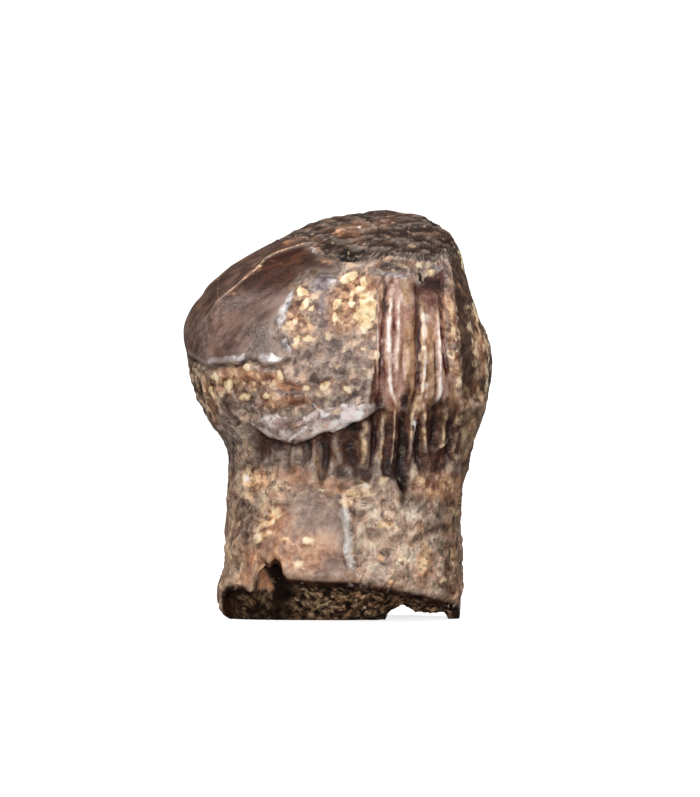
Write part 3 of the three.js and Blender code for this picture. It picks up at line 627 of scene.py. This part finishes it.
def add_relief(s):
    """How far each point stands out from the plain wall, in mm."""
    m, front, back = s.marks, s.front, s.back
    relief = sum(height * m[name] for name, height in RAISED.items())
    cutting_edge = bell(s.z - follow(CUTTING_EDGE, s.x), 0.06)
    cutting_edge = cutting_edge * rise(-s.x, 0.5, 0.7) * fall(-s.x, 2.4, 2.8)
    relief += 0.035 * cutting_edge * front * (1 - m["tip"])
    bottom = follow(ENAMEL_BOTTOM, s.x)
    relief -= 0.06 * bell(s.z - bottom + 0.06, 0.045) * front * fall(s.x, -1.15, -1.0)
    beads = noise(s.points, 7, 131) - 0.5
    for line in RIDGES + NECK_RIDGES + [SLANT_GROOVE, BEADED_RIDGE]:
        relief += line[2] * line_share(s, line) * (1 + 2.2 * beads * (line[2] > 0))
    relief += ROOT_CREST[2] * m["root_crest"]

    # The far face has even, fainter ridges, a lost flake of enamel and a groove down the root.
    far_crown = rise(s.z, 3.3, 4.2) * fall(s.z, 7.3, 8.0) * back
    relief += 0.04 * far_crown * np.cos(20 * s.angle + 1.5 * (noise(s.points, 0.8, 51) - 0.5))
    relief -= 0.07 * back * bell(np.hypot(s.x - 1.2, 1.3 * (s.z - 5.0)), 0.85)
    relief -= 0.1 * back * bell(s.x + 0.25, 0.5) * fall(s.z, 2.6, 3.3)
    relief -= 0.05 * m["chipped"] * (1 - front)
    relief += 0.05 * rise(np.abs(s.across), 0.955, 1.0) * rise(s.z, 4.2, 5.2) * fall(s.z, 7.6, 8.3)

    # Broken flakes of several sizes, and the grain of the root and the worn tip.
    rough = 0.15 + sum(share * m[name] for name, share in ROUGHENED.items())
    for name, share in SMOOTHED.items():
        rough = rough * (1 - share * m[name])
    layered = 1 + 0.8 * m["tip"][:, None] * (-0.5, 0, 1)
    place = s.points * layered
    large_tone, large = flakes(place + 0.3 * (noise(s.points, 3, 61) - 0.5)[:, None], 2.2, 71)
    small_tone, small = flakes(place + 0.15 * (noise(s.points, 6, 81) - 0.5)[:, None], 5, 91)
    relief += rough * (0.04 * large + 0.03 * small)
    relief += rough * 0.13 * (fractal(place, 4.5, 101) - 0.5)
    relief += 0.12 * (m["pale_root"] + 0.6 * m["dark_root"]) * (fractal(s.points, 2.6, 107, 3) - 0.5)
    relief += (0.04 + 0.06 * m["root"]) * (fractal(s.points, 0.9, 111, 2) - 0.5)
    relief += 0.012 * m["enamel"] * (fractal(s.points * (1, 1, 0.4), 2.5, 121, 2) - 0.5)
    relief += 0.16 * m["lip"] * (fractal(s.points * (1, 1, 2), 1.8, 125, 3) - 0.5)
    s.mark("flake", 0.45 * large_tone + 0.55 * small_tone)
    s.relief = relief - 0.1 * s.front * fall(s.above_break, 0.0, 0.3) ** 2


def add_shade_and_highlight_marks(s):
    """Marks what lies lower than its surroundings, for painted shade, and what stands proud of them, for
    painted highlight.
    """
    relief = s.relief.reshape(s.shape)
    smooth = relief
    for _ in range(6):
        rows = np.pad(smooth, ((1, 1), (0, 0)), mode="edge")
        smooth = (rows[:-2] + 2 * rows[1:-1] + rows[2:]) / 4
        smooth = (np.roll(smooth, 1, 1) + 2 * smooth + np.roll(smooth, -1, 1)) / 4
    proud = (relief - smooth).ravel()
    s.mark("low", -proud / FULL_SHADING_STEP)
    s.mark("high", proud / FULL_SHADING_STEP)


def tooth_mesh():
    angle = column_angles()
    rim, _, _ = plain_wall(angle, np.zeros(COLUMNS))
    rim_height = broken_end(rim[:, 0], rim[:, 1])
    stump_share = (np.arange(STUMP_ROWS) / STUMP_ROWS)[:, None]
    stump = rim_height + (STUMP_TOP - rim_height) * stump_share
    top = STATIONS[-1, 0]
    wall = np.broadcast_to(np.linspace(STUMP_TOP, top - 0.04, WALL_ROWS)[:, None], (WALL_ROWS, COLUMNS))
    along = np.concatenate([stump, wall])
    s = Surface(angle, along, rim_height)
    add_regions(s)
    add_relief(s)
    add_shade_and_highlight_marks(s)
    outside = (s.points + s.normals * s.relief[:, None]).reshape(*s.shape, 3)
    outside[0, :, 2] = rim_height

    # The broken end, from its middle out to the rim: crumbly sediment inside a rim of dentine.
    shares = 1 - (1 - np.arange(1, END_ROWS + 1) / (END_ROWS + 1)) ** 1.4
    end = outside[0][None] * shares[:, None, None]
    end[..., 2] = broken_end(end[..., 0], end[..., 1])
    flat = end.reshape(-1, 3)
    grain = (fractal(flat, 4, 141) - 0.5) * 0.3 + (flakes(flat, 5, 151)[0] - 0.5) * 0.08
    grain = grain.reshape(end.shape[:2]) * rise(end[..., 2], 0.0, 0.12) * (1 - shares[:, None] ** 8)
    end[..., 2] = np.maximum(end[..., 2] + grain, 0)
    tip = STATIONS[-1]
    points = np.concatenate([
        end.reshape(-1, 3), outside.reshape(-1, 3),
        [(0, 0, 0)], [((tip[3] - tip[2]) / 2, (tip[5] - tip[4]) / 2, tip[1])],
    ])
    inner = END_ROWS * COLUMNS
    marks = {name: np.concatenate([np.zeros(inner), share, [0, 0]]) for name, share in s.marks.items()}
    marks["sediment"] = np.zeros(len(points))
    marks["sediment"][-2] = 1
    mark_broken_end(marks, end, shares)
    marks["tip"][-1] = 1
    faces = grid_faces(END_ROWS + s.shape[0], COLUMNS, len(points) - 2, len(points) - 1)
    return points, faces, marks


def mark_broken_end(marks, end, shares):
    """Sediment, painted shade and the notch's fold on the points of the broken end, which come first."""
    under, high = end[..., 0].ravel(), end[..., 2].ravel()
    fold = notch_fold(under, high)
    # Painted shade: dark in the notch's hole and over the left of the broken end.
    shade = np.maximum(bell(under + 1.42, 0.42), 0.75 * rise(-under, 1.1, 1.7))
    dark = bell(under + 1.28, 0.25) * rise(high, 0.3, 0.6) + bell(under + 1.2, 0.4) * 0.3
    shown = {
        "sediment": np.repeat(1 - shares ** 8, COLUMNS) * (1 - fold), "shade": shade * (1 - fold),
        "dark": dark * (1 - fold), "break_edge": 1 - fold, "smooth_root": fold, "rust": 0.75 * fold,
    }
    for name, share in shown.items():
        marks[name][:len(share)] = share


def notch_fold(x, z):
    """1 on the lighter fold of the wall that closes the left part of the notch."""
    right = -1.67 + 0.48 * (1.25 - z)
    return rise(z, 0.58, 0.72) * (1 - over(x, right, 0.07)) * rise(x, -2.2, -2.0)


def grid_faces(rows, columns, bottom, top):
    """Quads between the rows, and a fan at each end."""
    at = np.arange(rows * columns).reshape(rows, columns)
    beside = np.roll(at, -1, axis=1)
    quads = np.stack([at[:-1], beside[:-1], beside[1:], at[1:]], -1).reshape(-1, 4).tolist()
    fans = [(bottom, b, a) for a, b in zip(at[0].tolist(), beside[0].tolist())]
    fans += [(top, a, b) for a, b in zip(at[-1].tolist(), beside[-1].tolist())]
    return quads + fans


def add_object(name, data):
    made = bpy.data.objects.new(name, data)
    bpy.context.scene.collection.objects.link(made)
    return made


def make_tooth(material):
    points, faces, marks = tooth_mesh()
    low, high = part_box("tooth")
    middle = (points.min(0) + points.max(0)) / 2
    points[:, :2] += (np.array(low + high)[:2] / 2 / MM) - middle[:2]
    mesh = bpy.data.meshes.new("fossil_tooth")
    mesh.from_pydata((points * MM).tolist(), [], faces)
    for name, share in marks.items():
        layer = mesh.attributes.new(name, "FLOAT", "POINT")
        layer.data.foreach_set("value", share.astype(np.float32))
    mesh.materials.append(material)
    mesh.shade_smooth()
    mesh.update()
    tooth = add_object("fossil_tooth", mesh)
    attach(tooth, "root")
    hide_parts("tooth")


def srgb(red, green, blue):
    """A colour given from 0 to 255 as a screen shows it, turned into linear light."""
    parts = [c / 255 for c in (red, green, blue)]
    return tuple(c / 12.92 if c <= 0.04045 else ((c + 0.055) / 1.055) ** 2.4 for c in parts) + (1,)


class Shader:
    """Short ways to make and join the nodes of one material."""

    def __init__(self, name):
        self.material = bpy.data.materials.new(name)
        self.material.use_nodes = True
        self.tree = self.material.node_tree
        self.tree.nodes.clear()
        coordinates = self.node("ShaderNodeTexCoord", {}, "Object")
        self.place = self.node("ShaderNodeMapping", {"Vector": coordinates, "Scale": (1 / MM,) * 3})

    def node(self, kind, inputs, output=0, **settings):
        made = self.tree.nodes.new(kind)
        for name, value in settings.items():
            setattr(made, name, value)
        for socket, value in inputs.items():
            if isinstance(value, bpy.types.NodeSocket):
                self.tree.links.new(value, made.inputs[socket])
            else:
                made.inputs[socket].default_value = value
        return made.outputs[output] if made.outputs else None

    def mark(self, name):
        return self.node("ShaderNodeAttribute", {}, "Fac", attribute_name=name)

    def maths(self, operation, *values, kind="ShaderNodeMath"):
        return self.node(kind, dict(enumerate(values)), operation=operation)

    def times(self, first, second):
        return self.maths("MULTIPLY", first, second)

    def sway(self, noise, reach):
        """How far a noise is from its middle, times reach."""
        return self.times(self.maths("SUBTRACT", noise, 0.5), reach)

    def most(self, *values):
        largest = values[0]
        for value in values[1:]:
            largest = self.maths("MAXIMUM", largest, value)
        return largest

    def span(self, value, start, end, low=0.0, high=1.0):
        """low before start, high after end, smooth between them."""
        inputs = {"Value": value, "From Min": start, "From Max": end, "To Min": low, "To Max": high}
        return self.node("ShaderNodeMapRange", inputs, interpolation_type="SMOOTHSTEP")

    def mix(self, share, first, second, blend="MIX"):
        inputs = {0: share, 6: first, 7: second}
        return self.node("ShaderNodeMix", inputs, 2, data_type="RGBA", blend_type=blend)

    def blend(self, share, first, second):
        return self.node("ShaderNodeMix", {0: share, 2: first, 3: second}, 0, data_type="FLOAT")

    def ramp(self, share, colours):
        made = self.node("ShaderNodeValToRGB", {0: share}).node
        stops = made.color_ramp.elements
        while len(stops) < len(colours):
            stops.new(0.5)
        for i, colour in enumerate(colours):
            stops[i].position = 0.12 + 0.76 * i / (len(colours) - 1)
            stops[i].color = srgb(*colour)
        return made.outputs[0]

    def noise(self, scale, detail=4, roughness=0.6, stretch=(1, 1, 1), distortion=0.0, turn=0.0):
        place = self.node("ShaderNodeMapping", {"Vector": self.place, "Rotation": (0, turn, 0)})
        place = self.node("ShaderNodeMapping", {"Vector": place, "Scale": stretch})
        inputs = {"Vector": place, "Scale": scale, "Detail": detail, "Roughness": roughness}
        return self.node("ShaderNodeTexNoise", {**inputs, "Distortion": distortion}, 0)


# Each kind of surface: its mark, what varies its tone, its colours from dark to light, how rough it
# is, how ragged its edge is and how soft. Later ones lie over earlier ones.
FINISHES = [
    ("chipped", "grainy", [(92, 72, 64), (140, 120, 109), (170, 150, 138), (220, 198, 174)], 0.4, 0.5, 0.2),
    ("enamel", "scratched", [(84, 63, 54), (112, 89, 80), (140, 116, 106)], 0.32, 0.2, 0.12),
    ("brown", "scratched", [(44, 21, 10), (61, 32, 18), (84, 49, 31)], 0.42, 0.3, 0.45),
    # The outer band and the strip: their own dark brown, kept darker as partly painted shade at the sides.
    ("outer", "scratched", [(56, 36, 27), (80, 57, 46), (114, 86, 70)], 0.36, 0.4, 0.2),
    ("strip", "scratched", [(46, 29, 21), (80, 57, 44), (116, 88, 66)], 0.32, 0.3, 0.3),
    ("rims", "grainy", [(48, 32, 24), (122, 94, 72), (230, 202, 170)], 0.4, 0.7, 0.2),
    ("tip", "layered", [(26, 16, 11), (50, 34, 26), (77, 57, 46), (118, 91, 73)], 0.5, 0.5, 0.2),
    ("root", "patchy", [(86, 64, 52), (147, 120, 102), (182, 155, 134), (232, 208, 178)], 0.42, 0.5, 0.3),
    ("smooth_root", "cloudy", [(122, 95, 81), (157, 131, 115), (185, 158, 141)], 0.34, 0.4, 0.5),
    ("pale_root", "patchy", [(118, 96, 80), (172, 148, 130), (200, 180, 162), (238, 224, 204)],
     0.4, 0.5, 0.3),
    ("dark_root", "patchy", [(64, 42, 29), (122, 94, 72), (160, 130, 104), (214, 184, 146)],
     0.42, 0.5, 0.3),
    ("rust", "cloudy", [(120, 76, 52), (176, 128, 96), (214, 170, 134)], 0.34, 0.5, 0.45),
    ("gold", "grainy", [(104, 68, 50), (154, 115, 90), (196, 158, 124), (242, 212, 174)], 0.32, 0.8, 0.3),
    ("ridged", "ridge_tone", [(88, 42, 33), (138, 94, 80), (184, 150, 135), (222, 198, 185), (254, 247, 242)],
     0.26, 0.2, 0.3),
    ("ridge_gold", "ridge_tone",
     [(78, 42, 28), (130, 92, 66), (174, 138, 108), (212, 182, 150), (250, 238, 220)], 0.3, 0.5, 0.4),
    ("neck", "neck_tone", [(24, 8, 5), (66, 33, 24), (98, 67, 51), (140, 110, 82), (214, 186, 144)],
     0.42, 0.9, 0.4),
    ("lip", "cloudy", [(116, 95, 90), (181, 164, 160), (234, 229, 231)], 0.18, 0.4, 0.3),
    # Painted highlight: a bluish sheen, in part over a grey remnant of enamel.
    ("lilac_sheen", "cloudy", [(112, 98, 98), (154, 144, 148), (208, 204, 210)], 0.2, 0.6, 0.3),
    # Painted highlight along the root's crest.
    ("root_crest", "grainy", [(150, 145, 142), (187, 188, 187), (224, 229, 230)], 0.3, 1.0, 0.3),
    # Pale bone, partly painted highlight.
    ("gleam", "cloudy", [(222, 174, 130), (242, 206, 160), (254, 240, 204)], 0.28, 0.8, 0.35),
    ("cream", "grainy", [(206, 172, 126), (230, 208, 162), (240, 226, 186), (252, 244, 216)], 0.3, 1.3, 0.14),
    ("red_hollow", "cloudy", [(32, 11, 8), (62, 30, 24), (102, 66, 54)], 0.45, 0.6, 0.45),
    # Partly painted shade under the broken rim.
    ("break_edge", "cloudy", [(16, 5, 2), (38, 16, 8), (74, 41, 26)], 0.34, 0.4, 0.35),
    ("sediment", "crumbly", [(26, 16, 11), (80, 60, 44), (130, 105, 81), (188, 162, 130)], 0.6, 0.3, 0.2),
    # Mostly painted shade, in pits, gaps and the notch.
    ("dark", "grainy", [(8, 4, 3), (28, 18, 14), (62, 46, 38)], 0.65, 0.8, 0.35),
]
FAR_CROWN = [(58, 42, 33), (102, 79, 66), (140, 115, 99)]
# Painted shade, also used for the dark of cracks.
SHADE_AND_CRACK_DARK = srgb(24, 12, 8)
# Painted highlight colour for glints.
GLINT_HIGHLIGHT = srgb(246, 243, 244)
# Painted highlight along the cutting edge.
EDGE_HIGHLIGHT = srgb(214, 172, 140)
# Painted highlight on what stands proud, partly edge wear.
PROUD_HIGHLIGHT = srgb(234, 216, 200)
RED_GRAIN = srgb(212, 158, 128)
PALE_GRAIN = srgb(240, 222, 186)
PIT = srgb(40, 27, 21)


def mineral_specks(sh, room, colour, scale, share):
    """Scattered pale grains and dark pits of many sizes, scale of them in a millimetre."""
    cells = sh.node("ShaderNodeTexVoronoi", {"Vector": sh.warped, "Scale": scale}).node
    chance, size, tint = sh.node("ShaderNodeSeparateColor", {"Color": cells.outputs["Color"]}).node.outputs
    reach = sh.span(size, 0, 1, 0.12, 0.5)
    inside = sh.times(sh.span(sh.maths("SUBTRACT", reach, cells.outputs["Distance"]), -0.04, 0.1), room)
    is_pale = sh.times(sh.span(chance, 1 - share - 0.01, 1 - share), inside)
    is_pit = sh.times(sh.span(chance, share + 0.01, share), inside)
    colour = sh.mix(sh.times(is_pale, 0.7), colour, sh.mix(tint, RED_GRAIN, PALE_GRAIN))
    return sh.mix(sh.times(is_pit, 0.6), colour, PIT)


def add_noises(sh):
    """The noises and the warped place that several parts of the material share."""
    sh.cloudy = sh.noise(2.0, 4, 0.55, distortion=0.4)
    sh.fine = sh.noise(7, 3, 0.6)
    sh.coarse = sh.noise(3.2, 4, 0.62, distortion=0.6)
    warp = sh.node("ShaderNodeTexNoise", {"Vector": sh.place, "Scale": 6, "Detail": 3}, "Color")
    warp = sh.maths("SUBTRACT", warp, (0.5,) * 3, kind="ShaderNodeVectorMath")
    warp = sh.maths("MULTIPLY", warp, (0.2,) * 3, kind="ShaderNodeVectorMath")
    sh.warped = sh.maths("ADD", sh.place, warp, kind="ShaderNodeVectorMath")


def tone_sources(sh, pebble_tone):
    """What the tone of a finish can vary with, from 0 to 1."""
    layered = sh.noise(2.6, 4, 0.62, stretch=(0.6, 0.6, 1.8), distortion=0.8)
    patches = sh.noise(1.8, distortion=1.2)
    scratches = sh.noise(7, stretch=(0.22, 1, 1), turn=0.61)
    grainy = sh.blend(0.24, sh.blend(0.3, sh.coarse, sh.fine), pebble_tone)
    grainy = sh.blend(0.06, grainy, sh.mark("flake"))
    loose = sh.blend(0.5, sh.fine, sh.noise(8, 3, 0.6, stretch=(1, 1, 0.25)))
    loose = sh.maths("ADD", sh.sway(loose, 1.3), sh.sway(sh.cloudy, 0.6))
    return {
        "cloudy": sh.span(sh.blend(0.3, sh.cloudy, sh.fine), 0.3, 0.7),
        "grainy": sh.span(grainy, 0.25, 0.75),
        "layered": sh.span(sh.blend(0.5, layered, grainy), 0.27, 0.73),
        "patchy": sh.span(sh.blend(0.3, patches, grainy), 0.26, 0.74),
        "scratched": sh.span(sh.blend(0.5, sh.cloudy, scratches), 0.32, 0.68),
        "crumbly": sh.span(sh.blend(0.5, sh.fine, grainy), 0.32, 0.68),
        "ridge_tone": sh.maths("ADD", sh.mark("ridge_tone"), loose),
        "neck_tone": sh.maths("ADD", sh.mark("neck_tone"), loose),
    }


def lay_finishes(sh, sources):
    """The colour and the roughness of every finish, each laid where its mark is."""
    colour = sh.ramp(sources["cloudy"], FAR_CROWN)
    rough = 0.33
    for name, source, colours, roughness, ragged, soft in FINISHES:
        torn = sh.maths("ADD", sh.mark(name), sh.sway(sh.fine, ragged))
        share = sh.span(torn, 0.5 - soft, 0.5 + soft)
        colour = sh.mix(share, colour, sh.ramp(sources[source], colours))
        rough = sh.blend(share, rough, roughness)
    return colour, rough


def add_minerals(sh, colour, pebble_hue):
    """Grains, pits and cracks where no enamel is left, and a slow drift of hue."""
    room = sh.most(sh.mark("chipped"), sh.mark("root"), sh.times(sh.mark("tip"), 0.55), sh.mark("sediment"))
    room = sh.maths("ADD", sh.times(room, 0.9), 0.1)
    room = sh.times(room, sh.span(sh.mark("cream"), 0.2, 0.6, 1.0, 0.0))
    room = sh.times(room, sh.span(sh.mark("smooth_root"), 0.2, 0.8, 1.0, 0.2))
    hue = sh.mix(sh.span(pebble_hue, 0.2, 0.8), (1.05, 0.95, 0.92, 1), (0.95, 0.98, 0.96, 1))
    colour = sh.mix(sh.times(room, 0.8), colour, hue, "MULTIPLY")
    colour = mineral_specks(sh, room, colour, 5, 0.05)
    colour = mineral_specks(sh, room, colour, 9, 0.08)
    crack = sh.maths("ABSOLUTE", sh.maths("SUBTRACT", sh.noise(2.3, 3, 0.55, distortion=0.6), 0.48))
    crack = sh.times(sh.span(crack, 0.014, 0.004), room)
    colour = sh.mix(sh.times(crack, 0.5), colour, SHADE_AND_CRACK_DARK)
    drift = sh.span(sh.noise(1.1, 3, 0.6, distortion=0.6), 0.35, 0.65)
    drift = sh.mix(drift, (0.96, 0.94, 0.95, 1), (1.0, 0.88, 0.79, 1))
    return sh.mix(0.8, colour, drift, "MULTIPLY")


def add_painted_light_and_shade(sh, colour):
    """Painted light and shade: shade in hollows, highlight on what stands proud, soft shade, glints and a
    line along the cutting edge.
    """
    # Painted shade in hollows, weaker on the ridges and the neck.
    lined = sh.most(sh.mark("ridged"), sh.mark("neck"))
    low = sh.times(sh.mark("low"), sh.span(lined, 0, 1, 0.6, 0.25))
    colour = sh.mix(low, colour, SHADE_AND_CRACK_DARK)
    # Painted highlight on what stands proud, partly edge wear.
    colour = sh.mix(sh.times(sh.mark("high"), 0.22), colour, PROUD_HIGHLIGHT)
    # Painted soft shade.
    colour = sh.mix(sh.times(sh.mark("shade"), 0.85), colour, SHADE_AND_CRACK_DARK)
    # Painted highlights: broken white glints.
    broken_light = sh.span(sh.times(sh.mark("painted_glint"), sh.blend(0.5, sh.cloudy, sh.fine)), 0.2, 0.5)
    colour = sh.mix(sh.times(broken_light, 0.85), colour, GLINT_HIGHLIGHT)
    # A painted highlight along the ridge of the cutting edge.
    off_line = sh.maths("ABSOLUTE", sh.maths("SUBTRACT", sh.mark("edge_line"), 0.5))
    off_line = sh.maths("ADD", off_line, sh.sway(sh.fine, 0.22))
    on_line = sh.times(sh.span(off_line, 0.06, 0.02), sh.span(sh.coarse, 0.38, 0.5, 0.15, 1.0))
    return sh.mix(on_line, colour, EDGE_HIGHLIGHT)


def fossil_material():
    """Mineralised enamel and dentine, mottled by where it has flaked, cracked and filled."""
    sh = Shader("fossil_tooth")
    add_noises(sh)
    inputs = {"Vector": sh.warped, "Scale": 6, "Smoothness": 0.3}
    pebbles = sh.node("ShaderNodeTexVoronoi", inputs, "Color", feature="SMOOTH_F1")
    pebble_tone, pebble_hue, _ = sh.node("ShaderNodeSeparateColor", {"Color": pebbles}).node.outputs
    colour, rough = lay_finishes(sh, tone_sources(sh, pebble_tone))
    colour = add_minerals(sh, colour, pebble_hue)
    colour = add_painted_light_and_shade(sh, colour)
    rough = sh.blend(sh.mark("shade"), rough, 0.75)
    height = sh.blend(0.3, sh.blend(0.5, sh.coarse, sh.fine), sh.noise(14, 2, 0.6))
    height = sh.times(height, sh.span(rough, 0.25, 0.5, 0.4, 1.5))
    bump = sh.node("ShaderNodeBump", {"Strength": 0.8, "Distance": 0.06 * MM, "Height": height})
    # Where painted shade lies, and on the brown, the tip and the broken edge, the surface shines less.
    fairly_dull = [sh.times(sh.mark(name), 0.8) for name in ("brown", "tip", "break_edge")]
    dull = sh.most(sh.mark("shade"), sh.mark("dark"), *fairly_dull)
    surface = sh.node("ShaderNodeBsdfPrincipled", {
        "Base Color": colour, "Roughness": rough, "Normal": bump, "IOR": 1.45,
        "Specular IOR Level": sh.span(dull, 0, 1, 0.5, 0.1),
        "Coat Weight": sh.span(dull, 0, 1, 0.1, 0.0), "Coat Roughness": 0.2,
    })
    sh.node("ShaderNodeOutputMaterial", {"Surface": surface})
    return sh.material


# The stage in mm, and the photo's size and the place of the tooth's base in it, in pixels.
FLOOR_REACH = 600
BEND = 120
BEND_STEPS = 12
BACKDROP_TOP = 500
TOOTH_MIDDLE = (0, 0, 4.5)
LENS = 200
SENSOR = 36
PHOTO_SIZE = (700, 797)
PIXELS_PER_MM = 45.4
BASE_PIXEL = (338, 618)


def make_stage():
    """A pale floor that curves up into a backdrop far behind."""
    profile = [(-FLOOR_REACH, 0), (BEND, 0)]
    for i in range(1, BEND_STEPS + 1):
        turn = math.pi / 2 * i / BEND_STEPS
        profile.append((BEND + BEND * math.sin(turn), BEND * (1 - math.cos(turn))))
    profile.append((2 * BEND, BACKDROP_TOP))
    points = [(x * MM, y * MM, z * MM) for y, z in profile for x in (-FLOOR_REACH, FLOOR_REACH)]
    faces = [(2 * i, 2 * i + 1, 2 * i + 3, 2 * i + 2) for i in range(len(profile) - 1)]
    mesh = bpy.data.meshes.new("backdrop")
    mesh.from_pydata(points, [], faces)
    mesh.shade_smooth()
    sh = Shader("pale_paper")
    surface = sh.node("ShaderNodeBsdfPrincipled", {
        "Base Color": (0.86, 0.86, 0.86, 1), "Roughness": 0.9,
        "Emission Color": (1, 1, 1, 1), "Emission Strength": 0.75,
    })
    sh.node("ShaderNodeOutputMaterial", {"Surface": surface})
    mesh.materials.append(sh.material)
    backdrop = add_object("backdrop", mesh)
    backdrop.visible_glossy = False
    backdrop.visible_diffuse = False


def soft_light(name, place, size, glow, colour=(1, 1, 1), aim=TOOTH_MIDDLE):
    """A panel of light, size wide and high, whose face shines glow times as bright as white paper."""
    data = bpy.data.lights.new(name, "AREA")
    data.shape = "RECTANGLE"
    data.size = size[0] * MM
    data.size_y = size[1] * MM
    data.energy = glow * math.pi * data.size * data.size_y
    data.color = colour
    light = add_object(name, data)
    light.location = Vector(place) * MM
    light.rotation_euler = (Vector(aim) - Vector(place)).to_track_quat("-Z", "Y").to_euler()
    light.visible_camera = False


def make_lights():
    soft_light("front_left", (-50, -90, 14), (50, 24), 13, (1, 0.97, 0.93))
    soft_light("front_right", (44, -95, 12), (40, 20), 13, (1, 0.97, 0.94))
    soft_light("front_low", (10, -80, 6), (14, 9), 30, (0.95, 0.98, 1))
    soft_light("above", (-25, -60, 70), (40, 40), 2.5)
    soft_light("sweep_light", (0, 10, 80), (120, 120), 5, aim=(0, 240, 20))
    world = bpy.data.worlds.new("soft_room")
    world.use_nodes = True
    world.node_tree.nodes["Background"].inputs["Color"].default_value = (1, 1, 1, 1)
    world.node_tree.nodes["Background"].inputs["Strength"].default_value = 0.1
    bpy.context.scene.world = world


def make_camera():
    """Level with the middle of the photo, straight in front of the tooth."""
    width, height = PHOTO_SIZE
    x = (width / 2 - BASE_PIXEL[0]) / PIXELS_PER_MM
    z = (BASE_PIXEL[1] - height / 2) / PIXELS_PER_MM
    away = height / PIXELS_PER_MM * LENS / SENSOR
    data = bpy.data.cameras.new("camera")
    data.lens = LENS
    data.sensor_width = SENSOR
    data.clip_start = 1 * MM
    data.clip_end = 5
    camera = add_object("camera", data)
    camera.location = (x * MM, -away * MM, z * MM)
    camera.rotation_euler = (math.pi / 2, 0, 0)
    bpy.context.scene.camera = camera


make_tooth(fossil_material())
make_stage()
make_lights()
make_camera()
bpy.context.scene.view_settings.view_transform = "Standard"
